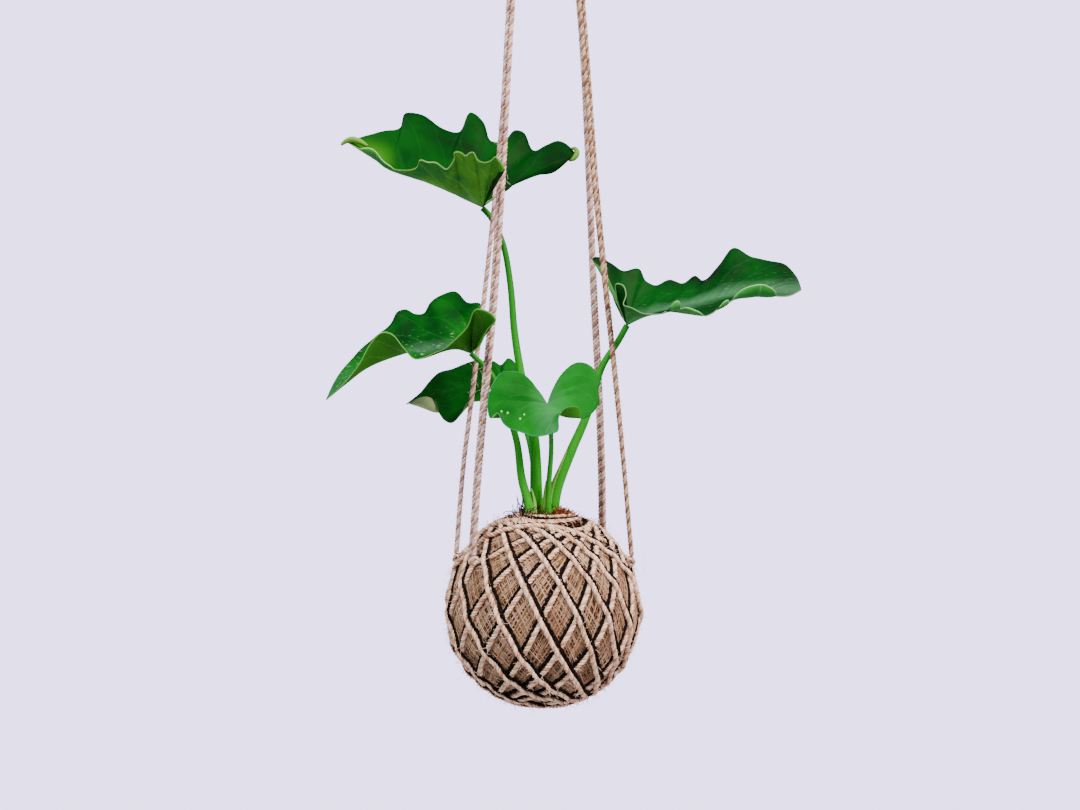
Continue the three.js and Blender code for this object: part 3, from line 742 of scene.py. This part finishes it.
for name, runs, size, finish in (
    ("loose_straw", straw, 0.2, thread_jute), ("matted_coir", matted, 0.2, coir_bed),
    ("coir_tuft", tuft, 0.22, coir), ("dry_roots", roots, 0.3, root_skin),
):
    place_piece(tube_mesh(name, runs, size, resolution=0), [finish])

# %% [markdown]
# Jute sheds short stiff hairs. They stand off the turns of the net and off every strand, catch the
# light at the edge of the ball, and make the difference between jute and smooth string. One longer
# loose fibre curls out on the right, where a rope is hitched.

# %% Loose hairs
CORD_HAIRS, HAIRS_A_STRAND, HAIR_START, CURL_STEPS = 1300, 90, 74.2, 24
hairs = []
for _ in range(CORD_HAIRS):
    turn, arc = chance.randrange(len(frames)), between(0, tau)
    spot = turn_place(turn, arc)
    ahead = turn_place(turn, arc + 0.1) - spot
    aim = ahead.normalized() * between(-1, 1) + spot * between(0.1, 1.0)
    aim += frames[turn][2] * between(-0.8, 0.8)
    start = settled(spot * (HAIR_START + press(turn, spot, rise=1.9, sink=1.0)))
    hairs.append(fibre(start, aim, between(2.5, 7), 0.25, steps=4))
curl = []
for k in range(CURL_STEPS + 1):
    angle = 0.5 + 5.2 * k / CURL_STEPS
    curl.append(Vector((73.5 + 3.8 * sin(angle), -4 - 0.1 * k, 36 - 0.2 * k + 6.5 * cos(angle))))
hairs.append(curl)
place_piece(tube_mesh("cord_hairs", hairs, 0.11, resolution=0), [cord_jute])
hairs = []
for route in routes:
    for _ in range(HAIRS_A_STRAND):
        share = chance.random() ** 1.3 * 0.98
        spot, ahead = route.point_at(share), Vector((0, 0, chance.choice((-1, 1))))
        side = Vector((between(-1, 1), between(-1, 1), 0)).normalized()
        aim = side * between(0.3, 1) + ahead
        hairs.append(fibre(spot + side * 1.5, aim, between(2, 6), 0.25, steps=4))
place_piece(tube_mesh("rope_hairs", hairs, 0.09, resolution=0), [rope_jute])

# %% [markdown]
# ## Leaves
# The leaves are arrow-shaped, with two lobes behind the stalk and wavy margins. Each blade is a grid
# made with bmesh and moved onto the leaf's own lines: a column runs from the rib to the margin like a
# vein, and a row runs along the leaf. The far margin lies away from the viewer and the near one
# towards the viewer. The points are those of the solids, so the form stays close to theirs, apart from
# the near margin of the top leaf, which has finer waves here. Lips are the stretches of a near margin
# that roll up, from one x to another, with the height of the roll.

# %% The lines of the five leaves
LEAVES = {}
LEAVES["leaf_top"] = {
    "rib": [(-47, 12, 307), (-60, 6, 312), (-74, 0, 318), (-96, -4, 326), (-120, -7, 336), (-147, -8, 352)],
    "far": [
        (-42, 15, 312), (-28, 20, 322), (-19, 26, 332), (-8, 31, 338), (9, 34, 340), (23, 38, 353),
        (26, 41, 357), (13, 46, 369), (-7, 44, 360), (-15, 46, 375), (-23, 46, 377), (-31, 44, 368),
        (-42, 44, 368), (-48, 46, 384), (-59, 46, 392), (-67, 40, 374), (-81, 38, 377), (-98, 38, 388),
        (-110, 36, 388), (-113, 30, 375), (-124, 20, 369), (-136, 8, 362),
    ],
    "near": [
        (-45, 4, 309.5), (-41.5, -8, 313), (-38, -20, 316.5), (-35.5, -32, 319), (-31, -44, 321),
        (-27, -50, 321), (-33.5, -50, 330), (-37, -49, 327.7), (-41.6, -48, 326.9), (-46.4, -47, 328.7),
        (-49.7, -46, 334.1), (-52.6, -45.5, 334.1), (-55.4, -45, 332.5), (-57.8, -44.5, 334.5),
        (-61.1, -44, 335.6), (-64, -43, 334.5), (-63.5, -42, 331.9), (-65.7, -40, 328.2),
        (-69.7, -38, 324.9), (-73.7, -37, 327.1), (-77.5, -36.5, 329.6), (-83.3, -35, 330.6),
        (-89.2, -33.5, 332.6), (-93, -27, 328), (-109, -22, 328), (-118, -18, 332), (-126, -16, 340),
        (-135, -12, 345),
    ],
    "stalk": [
        (-5, 1, 60), (-5, 1, 73), (-5.2, 1, 90), (-7, 3, 130), (-17, 7, 179), (-22, 9, 211), (-25, 11, 246),
        (-30, 14, 276), (-35, 15, 290), (-41, 14, 301), (-47, 12, 307),
    ],
    "radii": (5.4, 2.3), "spoke_start": 0.42, "cup": 5, "lobe_rise": (6, 0), "veins": (13, 11),
    "lips": [(-136, -110, 4)],
}
LEAVES["leaf_left"] = {
    "rib": [
        (-54, -10, 193), (-70, -10, 198), (-92, -9, 196), (-114, -8, 190), (-133, -7, 182), (-149, -7, 170),
        (-164, -6, 158),
    ],
    "far": [
        (-56, -2, 198), (-55, 8, 209), (-51, 16, 222), (-49, 21, 234), (-59, 25, 235), (-69, 28, 244),
        (-80, 28, 242), (-89, 26, 235), (-94, 25, 227), (-101, 24, 226), (-108, 24, 230), (-114, 22, 228),
        (-119, 18, 218), (-137, 10, 201), (-148, 4, 188), (-157, -1, 175),
    ],
    "near": [
        (-55, -20, 191), (-51, -36, 193), (-44, -48, 198), (-39, -54, 208), (-33, -58, 214),
        (-40, -55, 221), (-48, -50, 222), (-54, -44, 211), (-67, -40, 198), (-76, -36, 193),
        (-93, -33, 188), (-101, -30, 195), (-110, -27, 206), (-120, -22, 208), (-129, -17, 199),
        (-138, -14, 184), (-151, -10, 169),
    ],
    "stalk": [
        (-10, -8.5, 60), (-10, -8.5, 74), (-12, -8, 84), (-16, -8, 99), (-20, -8, 128), (-28, -10, 152),
        (-39, -13, 178), (-54, -10, 193),
    ],
    "radii": (4.2, 2.0), "spoke_start": 0.4, "cup": 3, "lobe_rise": (2, 0), "veins": (11, 11),
}
LEAVES["leaf_rear"] = {
    "rib": [(-34, 30, 174), (-58, 36, 170), (-83, 41, 165), (-111, 45, 155)],
    "far": [
        (-28, 34, 177), (-20, 38, 181), (-22, 41, 188), (-28, 44, 192), (-34, 46, 187), (-41, 49, 190),
        (-59, 52, 190), (-71, 52, 185), (-86, 50, 180), (-100, 47, 164),
    ],
    "near": [
        (-35, 25, 167), (-41, 20, 160), (-51, 17, 157), (-59, 18, 156), (-64, 20, 148), (-73, 24, 140),
        (-82, 30, 147), (-86, 35, 157), (-96, 40, 159),
    ],
    "stalk": [(-4, 12, 60), (-4, 12, 72), (-6, 13, 96), (-12, 18, 130), (-24, 26, 158), (-34, 30, 174)],
    "radii": (3.0, 1.7), "spoke_start": 0.35, "cup": 2, "lobe_rise": (2, 2), "veins": (8, 7),
}
LEAVES["leaf_front"] = {
    "rib": [(3, -34, 155), (4, -46, 150), (5, -60, 143), (6, -74, 135)],
    "far": [
        (6, -33, 157), (9, -30, 166), (15, -26, 178), (26, -25, 186), (36, -27, 182), (42, -30, 171),
        (40, -33, 165), (41, -36, 157), (36, -40, 149), (28, -43, 145), (25, -46, 153), (17, -52, 153),
        (11, -62, 147), (10, -72, 137),
    ],
    "near": [
        (-1, -33, 157), (-7, -30, 164), (-12, -27, 175), (-21, -28, 179), (-30, -33, 178), (-38, -42, 167),
        (-40, -45, 154), (-38, -46, 145), (-33, -48, 149), (-28, -54, 141), (-14, -64, 135), (-4, -71, 133),
    ],
    "stalk": [(4, -10, 60), (4, -10, 74), (4, -11, 91), (6, -18, 121), (5, -28, 144), (3, -34, 155)],
    "radii": (2.6, 1.7), "spoke_start": 0.5, "cup": 2, "lobe_rise": (5, 2), "veins": (8, 8),
}
LEAVES["leaf_right"] = {
    "rib": [(65, 12, 216), (86, 8, 226), (120, 4, 234), (158, 2, 242), (197, 0, 242)],
    "far": [
        (61, 14, 223), (55, 15, 236), (52, 15, 249), (47, 14, 259), (38, 14, 268), (45, 18, 270),
        (53, 22, 266), (63, 28, 261), (77, 34, 263), (82, 35, 254), (90, 36, 250), (101, 38, 255),
        (112, 38, 252), (122, 38, 258), (128, 36, 254), (140, 34, 265), (151, 30, 279), (166, 26, 271),
        (188, 16, 264), (195, 7, 253),
    ],
    "near": [
        (62, 6, 220), (58, -4, 228), (55, -11, 236), (54, -15, 245), (59, -20, 243), (61, -23, 236),
        (59, -25, 228), (66, -27, 225), (75, -27, 221), (91, -26, 222), (102, -27, 225), (111, -27, 221),
        (120, -26, 220), (133, -24, 227), (141, -21, 232), (156, -15, 235), (174, -8, 236), (187, -4, 237),
    ],
    "stalk": [
        (7, 3, 60), (7, 3, 73), (10, 4, 90), (22, 6, 120), (33, 7, 145), (46, 9, 185), (57, 11, 202),
        (65, 12, 216),
    ],
    "radii": (5.8, 2.5), "spoke_start": 0.4, "cup": 1, "lobe_rise": (2, 2), "veins": (13, 12),
    "lips": [(60, 90, 5.5), (91, 100, 7), (102, 117, 3), (127, 136, 6), (139, 174, 10.5)],
}
print("leaves:", len(LEAVES))

# %% [markdown]
# A living leaf has a waxy skin over soft green flesh. Its upper face is deep green with a dull gloss,
# and its underside is paler. The blade carries four numbers at each point: how many veins along it is,
# how far apart the veins lie there, and how far it is from the rib and from the margin, the last three
# in millimetres. From these the shader draws veins of a real width, wherever the leaf bends, a pale
# haze beside the rib and a light rim. The haze is partly waxy bloom and partly painted sheen. Round
# scars, and lighter places that are painted light shining through the thin blade, are given by where
# they lie.


# %% Leaf finishes
BLADE_LAYERS = ("vein_number", "vein_gap", "rib_distance", "margin_distance")


def leaf_skin(name, deep, fresh, vein, vein_share, margin, dust=0.0, bloom_and_sheen=0.0, scars=(), lights=()):
    """Waxy leaf skin: mottled green, paler veins and margin, bloom with painted sheen, dust, round scars and
    painted light through thin places.
    """
    material, tree, shader = start_material(name)
    place = object_place(tree)
    broad, fine = noise(tree, place, 28.0, 3.0), noise(tree, place, 420.0, 2.0)
    cells = add_node(tree, "TexVoronoi", {"Vector": place, "Scale": 330.0}, feature="DISTANCE_TO_EDGE")
    green = blend(tree, ramp(tree, broad, 0.35, 0.65), deep, fresh)
    number, gap, reach, edge = (
        add_node(tree, "Attribute", attribute_name=layer).outputs["Fac"] for layer in BLADE_LAYERS)
    wander = maths(tree, "MULTIPLY_ADD", broad, 0.25, number)
    beside = maths(tree, "PINGPONG", wander, 0.5)
    side_vein = ramp(tree, maths(tree, "MULTIPLY", beside, gap), 0.75, 0.15)
    veins = maths(tree, "MAXIMUM", side_vein, ramp(tree, reach, 1.6, 0.6))
    every = maths(tree, "MAXIMUM", veins, ramp(tree, cells.outputs["Distance"], 0.09, 0.0, 0.3))
    flat_place = squeezed(tree, place, (1.0, 0.0, 1.0))

    def away_from(x, z):
        centre = (x / 1000, 0, (z - LIFT_MM) / 1000)
        return add_node(tree, "VectorMath", {0: flat_place, 1: centre}, operation="DISTANCE").outputs["Value"]

    # Each entry of lights is a lighter round place: painted light shining through the thin blade.
    for x, z, radius in lights:
        thin = ramp(tree, away_from(x, z), radius / 1000, 0.0, 0.5, interpolation_type="SMOOTHSTEP")
        green = blend(tree, thin, green, "#3d8f14")
    veined = blend(tree, maths(tree, "MULTIPLY", every, vein_share), green, vein)
    fanned = maths(tree, "MULTIPLY", number, 5.0)
    fan_place = add_node(tree, "CombineXYZ", {"X": fanned, "Y": 0.0, "Z": 0.0}).outputs[0]
    # Pale haze beside the rib, fanned along the veins: partly waxy bloom, partly painted sheen.
    beside_rib = ramp(tree, reach, 15.0, 2.0, 2 * bloom_and_sheen)
    bloom_and_sheen_haze = maths(tree, "MULTIPLY", noise(tree, fan_place, 1.0, 2.0), beside_rib)
    skin = blend(tree, ramp(tree, edge, 0.72, 0.3, 0.7), blend(tree, bloom_and_sheen_haze, veined, "#78bc90"), margin)
    powder = noise(tree, squeezed(tree, place, (0.35, 1.0, 1.5)), 560.0, 6.0)
    worn = maths(tree, "MULTIPLY", ramp(tree, powder, 0.61, 0.76, dust), ramp(tree, reach, 34.0, 10.0))
    for x, z, radius in scars:
        scar = ramp(tree, away_from(x, z), radius / 1000, radius / 1600, 0.6)
        worn = maths(tree, "MAXIMUM", worn, scar)
    relief = maths(tree, "MULTIPLY_ADD", fine, 0.4, every)
    skin = blend(tree, worn, skin, "#b4d8b4")
    dress(tree, shader, skin, 0.5, shine=0.035, height=relief, deep=0.0003)
    return material


# Its lights entry is painted light shining through the blade near the tip.
upper_skin = leaf_skin(
    "waxy leaf upper skin", "#002004", "#003a05", "#206a25", 0.08, "#588c3c", dust=0.03,
    lights=[(-132, 340, 26)])
left_skin = leaf_skin("dusty leaf skin", "#002a05", "#005508", "#277b2c", 0.1, "#599b43", dust=0.5, bloom_and_sheen=0.1)
rear_skin = leaf_skin("shaded old leaf skin", "#083f0f", "#0b5e13", "#3a6937", 0.1, "#66854e", dust=0.06)
young_skin = leaf_skin(
    "young leaf skin", "#044e0c", "#096816", "#307e4f", 0.1, "#3c8a62", dust=0.05, bloom_and_sheen=0.1,
    scars=[(-38.4, 165.2, 1.1), (-29.7, 150, 0.9), (-25.3, 149, 0.9), (-16.3, 144.9, 0.8),
           (-13.5, 147.8, 0.7)],
)
right_skin = leaf_skin(
    "pale-veined leaf skin", "#001c04", "#003a07", "#2e6d3c", 0.08, "#7aa06b", dust=0.1, bloom_and_sheen=0.14)
curl_skin = leaf_skin("light rolled margin", "#27670f", "#407e1d", "#8db865", 0.0, "#679639")
under_skin = leaf_skin("leaf underside", "#1c6424", "#4f9a1a", "#8fc068", 0.16, "#b4dc84", bloom_and_sheen=0.12)
low_under = leaf_skin("underside of a turned leaf", "#16530c", "#2b6e16", "#75a850", 0.12, "#8db66b")
teal_under = leaf_skin("pale underside", "#12601c", "#348238", "#86b882", 0.12, "#9cc684")
SKINS = {
    "leaf_top": [upper_skin, under_skin], "leaf_left": [left_skin, low_under],
    "leaf_rear": [rear_skin, low_under], "leaf_front": [young_skin, low_under],
    "leaf_right": [right_skin, teal_under],
}
stalk_skin, tree, shader = start_material("succulent stalk skin")
place = object_place(tree)
lines = noise(tree, squeezed(tree, place, (1.0, 1.0, 0.08)), 700.0, 2.0)
height = add_node(tree, "SeparateXYZ", {0: place}).outputs["Z"]
colour = blend(tree, lines, "#0f7c10", "#3aa82c")
colour = blend(tree, ramp(tree, height, -0.625, -0.665, 0.4), colour, "#42ac28")
colour = blend(tree, ramp(tree, height, -0.62, -0.47, 0.7), colour, "#0c5c0a")
dress(tree, shader, colour, 0.45, shine=0.08)
print("skins for:", ", ".join(SKINS))


# %% Blades
QUILT_DEPTH, WALL_THICKNESS = 0.55, 0.0007
LIP_STEEPNESS, LIP_WIDTH = 1.6, 2.2


def smooth_share(value, top):
    share = min(max(value / top, 0.0), 1.0)
    return share * share * (3 - 2 * share)


def blade_mesh(name, leaf, columns=150, rows=16):
    """The blade as a grid of vein columns and rows, cupped, quilted and thickened."""
    rib = SmoothCurve(leaf["rib"])
    tip = leaf["rib"][-1]
    margins = [SmoothCurve(leaf["far"] + [tip]), SmoothCurve(leaf["near"] + [tip])]
    runs = [margin.lengths() for margin in margins]
    shape = bmesh.new()
    bmesh.ops.create_grid(shape, x_segments=columns, y_segments=2 * rows, size=1.0)
    layers = [shape.verts.layers.float.new(layer) for layer in BLADE_LAYERS]
    spokes = {}
    for vert in shape.verts:
        along = min(max((vert.co.x + 1) / 2, 0.0), 1.0)
        side = 1 if vert.co.y < -1e-6 else 0
        reach = abs(vert.co.y)
        if (along, side) not in spokes:
            run = runs[side][round(along * CURVE_STEPS)] / runs[side][-1]
            share = max(0.0, (run - leaf["spoke_start"]) / (1 - leaf["spoke_start"]))
            start, end = rib.point_at(share), margins[side].point(along)
            body = smooth_share(share, 0.25)
            depth = -leaf["lobe_rise"][side] * (1 - body) + leaf["cup"] * body
            spokes[(along, side)] = (run, share, start, end, depth, (end - start).length)
        run, share, start, end, depth, length = spokes[(along, side)]
        total, lip = length, 0
        for first, last, rise in leaf.get("lips", []):
            if side and first < end.x < last and share > 0.05:
                lip = rise / LIP_STEEPNESS * sqrt(sin(pi * (end.x - first) / (last - first)))
                total = length + LIP_WIDTH * lip
        over = max(0.0, reach * total - length)
        inside = (total - reach * total) if lip else (1 - reach) * length
        reach = min(1.0, reach * total / max(length, 0.01))
        curled = Vector((0, 0, 0))
        if over > 0 and lip:
            ahead = (end - start).normalized()
            up = (Vector((0, 0, 1)) - ahead * ahead.z).normalized()
            curled = lip * (ahead * sin(over / lip) + up * (1 - cos(over / lip)))
        sink = depth * 4 * reach * (1 - reach) * min(1.0, length / 40)
        number = run * leaf["veins"][side] - 1.1 * reach - 0.5 * reach ** 2
        ridge = cos(tau * number)
        quilt = -QUILT_DEPTH * ridge * smooth_share(reach, 0.3) * min(1.0, length / 30)
        spot = start.lerp(end, reach) - Vector((0, 0, sink + 0.5 * quilt)) + curled
        gap = runs[side][-1] / leaf["veins"][side] * reach
        vert[layers[0]] = number
        vert[layers[1]] = max(gap, 1.0)
        vert[layers[2]] = reach * length
        vert[layers[3]] = inside + (0 if side else 0.55)
        vert.co = spot
    bmesh.ops.remove_doubles(shape, verts=shape.verts, dist=0.02)
    bmesh.ops.recalc_face_normals(shape, faces=shape.faces)
    if sum(f.normal.z * f.calc_area() for f in shape.faces) < 0:
        bmesh.ops.reverse_faces(shape, faces=shape.faces)
    bmesh.ops.smooth_vert(
        shape, verts=shape.verts, factor=0.25, use_axis_x=True, use_axis_y=True, use_axis_z=True)
    for vert in shape.verts:
        vert.co = to_metres(vert.co)
    mesh = finished_mesh(name, shape)
    holder = bpy.data.objects.new(name, mesh)
    empty_slots(mesh, 3)
    wall = holder.modifiers.new("wall", "SOLIDIFY")
    wall.thickness, wall.offset, wall.material_offset = WALL_THICKNESS, 0.0, 1
    link(holder)
    bpy.context.view_layer.update()
    solid = bpy.data.meshes.new_from_object(holder.evaluated_get(bpy.context.evaluated_depsgraph_get()))
    bpy.data.objects.remove(holder)
    bpy.data.meshes.remove(mesh)
    return solid


# %% [markdown]
# A stalk is widest at its foot, where it sheathes the younger one, and narrows in a long curve to the
# blade. It is a curve with a radius for each point, turned to a mesh and joined to its blade, because
# leaf and stalk grew as one.


# %% Stalks, joined to their blades
STALK_STEPS = 60


def stalk_mesh(name, leaf):
    foot, head = leaf["radii"]
    line = SmoothCurve(leaf["stalk"]).walk(STALK_STEPS)
    sizes = [head + (foot - head) * (1 - k / STALK_STEPS) ** 2 for k in range(STALK_STEPS + 1)]
    return tube_mesh(name, [line], [sizes], resolution=6)


for name, leaf in LEAVES.items():
    stalk = stalk_mesh(name + "_stalk", leaf)
    empty_slots(stalk, 3)
    stalk.polygons.foreach_set("material_index", [2] * len(stalk.polygons))
    whole = join_meshes(name + "_grown", [blade_mesh(name + "_blade", leaf), stalk])
    place_piece(whole, SKINS[name] + [stalk_skin], [name])

# %% [markdown]
# Small things finish the plant. Old sheaths, thin and yellowish, still clasp the foot of the thickest
# stalk and stand between the others. The uppermost leaf ends in two tight light curls, one at its tip
# and one on its right lobe: margins that never unrolled. The rear leaf shows a cream turned edge near
# its tip, a small bulging strip between two lines.

# %% Sheaths and curls
sheath_skin, tree, shader = start_material("dry leaf sheath")
lines = noise(tree, squeezed(tree, object_place(tree), (1.0, 1.0, 0.1)), 900.0, 2.0)
dress(tree, shader, blend(tree, lines, "#58a824", "#9cd060"), 0.6)


def strip_mesh(name, columns, rows, spot_at, thickness):
    """A thin curved strip. spot_at gives its place for a share across the columns and one up the rows."""
    shape = bmesh.new()
    bmesh.ops.create_grid(shape, x_segments=columns, y_segments=rows, size=1.0)
    for vert in shape.verts:
        vert.co = to_metres(spot_at((vert.co.x + 1) / 2, (vert.co.y + 1) / 2))
    bmesh.ops.remove_doubles(shape, verts=shape.verts, dist=0.00001)
    bmesh.ops.recalc_face_normals(shape, faces=shape.faces)
    bmesh.ops.solidify(shape, geom=shape.faces, thickness=thickness)
    return finished_mesh(name, shape)


def sheath_mesh(name, line, radius, facing, spread):
    """A thin clasping strip along a line: it wraps spread degrees round it and ends in a point."""
    def spot_at(across, along):
        angle = radians(facing + spread * (2 * across - 1) * sqrt(max(0.0, 1 - along)))
        hug = radius * (1 - 0.35 * along)
        return line.point_at(along) + Vector((hug * sin(angle), -hug * cos(angle), 0))

    return strip_mesh(name, 10, 24, spot_at, 0.0003)


right_foot = SmoothCurve([(7, 3, 68), (10, 4, 90), (17, 5.2, 108), (22, 6, 120)])
inner_foot = SmoothCurve([(1.5, -5, 69), (1.2, -4.5, 84), (2.4, -5, 98)])
left_foot = SmoothCurve([(-6, -8, 70), (-6.5, -6.8, 82), (-9, -6, 92)])
place_piece(join_meshes("leaf_sheaths", [
    sheath_mesh("clasping_sheath", right_foot, 6.0, -62, 48),
    sheath_mesh("inner_sheath", inner_foot, 1.8, 0, 80),
    sheath_mesh("left_sheath", left_foot, 1.5, 10, 80),
]), [sheath_skin])
cream_skin = leaf_skin("cream turned margin", "#b8b79a", "#d6d2bc", "#dfe0c8", 0.2, "#6f9a50")
upper_line = SmoothCurve([
    (-107, 42, 155.5), (-99, 39, 160), (-91, 37, 160.5), (-86, 37, 156), (-81, 38, 150),
])
lower_line = SmoothCurve([
    (-107, 41.5, 155.2), (-100, 37, 153.5), (-93, 34.5, 151), (-88, 35, 149), (-81, 38, 148),
])


def turned_spot(along, high):
    spot = lower_line.point_at(along).lerp(upper_line.point_at(along), high)
    return spot - Vector((0, 3 * sin(pi * high) * sin(pi * along), 0))


place_piece(strip_mesh("leaf_rear_turned_margin", 16, 4, turned_spot, 0.0005), [cream_skin])
curl_lines = [
    [(21, 39, 351), (25, 40, 353), (27.4, 40.5, 357), (26, 41, 361), (22.5, 41, 361)],
    [(-132, -9, 349), (-138, -9, 352.5), (-144, -8.5, 354), (-149, -8, 352.5), (-152, -8, 350)],
]
TIP_STEPS = 16
curl_runs = [SmoothCurve(line).walk(TIP_STEPS) for line in curl_lines]
curl_sizes = [0.4 + 1.9 * sin(pi * (0.12 + 0.8 * k / TIP_STEPS)) for k in range(TIP_STEPS + 1)]
place_piece(tube_mesh("leaf_top_curls", curl_runs, [curl_sizes] * 2, resolution=3), [curl_skin])

# %% [markdown]
# ## Studio
# The plant hangs in plain soft light in front of a pale room. The floor lies well below it and ends
# before the camera's lowest line of sight meets it, so the main view doesn't show it. Two lamps in front,
# one to the left and a warmer one to the right, give the leaves their shade, and the pale surroundings
# fill the rest. What the camera sees behind the plant is brighter than what lights it.

# %% Floor, lamps and surroundings
FLOOR_RADIUS, FLOOR_HEIGHT = 1.75, -1.7
floor_shape = bmesh.new()
bmesh.ops.create_circle(floor_shape, cap_ends=True, segments=96, radius=FLOOR_RADIUS)
bmesh.ops.translate(floor_shape, verts=floor_shape.verts, vec=(0, 0, FLOOR_HEIGHT))
floor_mesh = finished_mesh("floor", floor_shape)
floor = bpy.data.objects.new("floor", floor_mesh)
link(floor)
floor_paint, tree, shader = start_material("pale matt floor paint")
shader.inputs["Base Color"].default_value = linear("#f6f4fc")
shader.inputs["Roughness"].default_value = 0.95
floor_mesh.materials.append(floor_paint)

ROOM_LIGHT, ROOM_SEEN = 0.5, 4.2
room = bpy.data.worlds.new("pale room")
room.use_nodes = True
tree = room.node_tree
tree.nodes.clear()
seen = add_node(tree, "LightPath").outputs["Is Camera Ray"]
glow = add_node(tree, "Background", {"Color": linear("#e6e4f0"), "Strength": ROOM_LIGHT})
wall = add_node(tree, "Background", {"Color": linear("#d4cafc"), "Strength": ROOM_SEEN})
both = add_node(tree, "MixShader", {0: seen, 1: glow.outputs[0], 2: wall.outputs[0]})
add_node(tree, "OutputWorld", {"Surface": both.outputs[0]})
bpy.context.scene.world = room


def soft_lamp(name, place, aim, size, power, tint="#ffffff"):
    """A square lamp at place, facing aim."""
    data = bpy.data.lights.new(name, "AREA")
    data.size, data.energy, data.color = size, power, linear(tint)[:3]
    lamp = bpy.data.objects.new(name, data)
    lamp.location = place
    lamp.rotation_euler = (Vector(aim) - Vector(place)).to_track_quat("-Z", "Y").to_euler()
    link(lamp)


middle = (0, 0, -0.6)
soft_lamp("main_lamp", (-0.5, -1.1, 0.95), middle, 0.8, 64)
soft_lamp("right_lamp", (1.2, -0.9, 0.75), middle, 0.9, 84, "#ffe8e4")
print("lamps:", len(bpy.data.lights), "floor width in metres:", 2 * FLOOR_RADIUS)
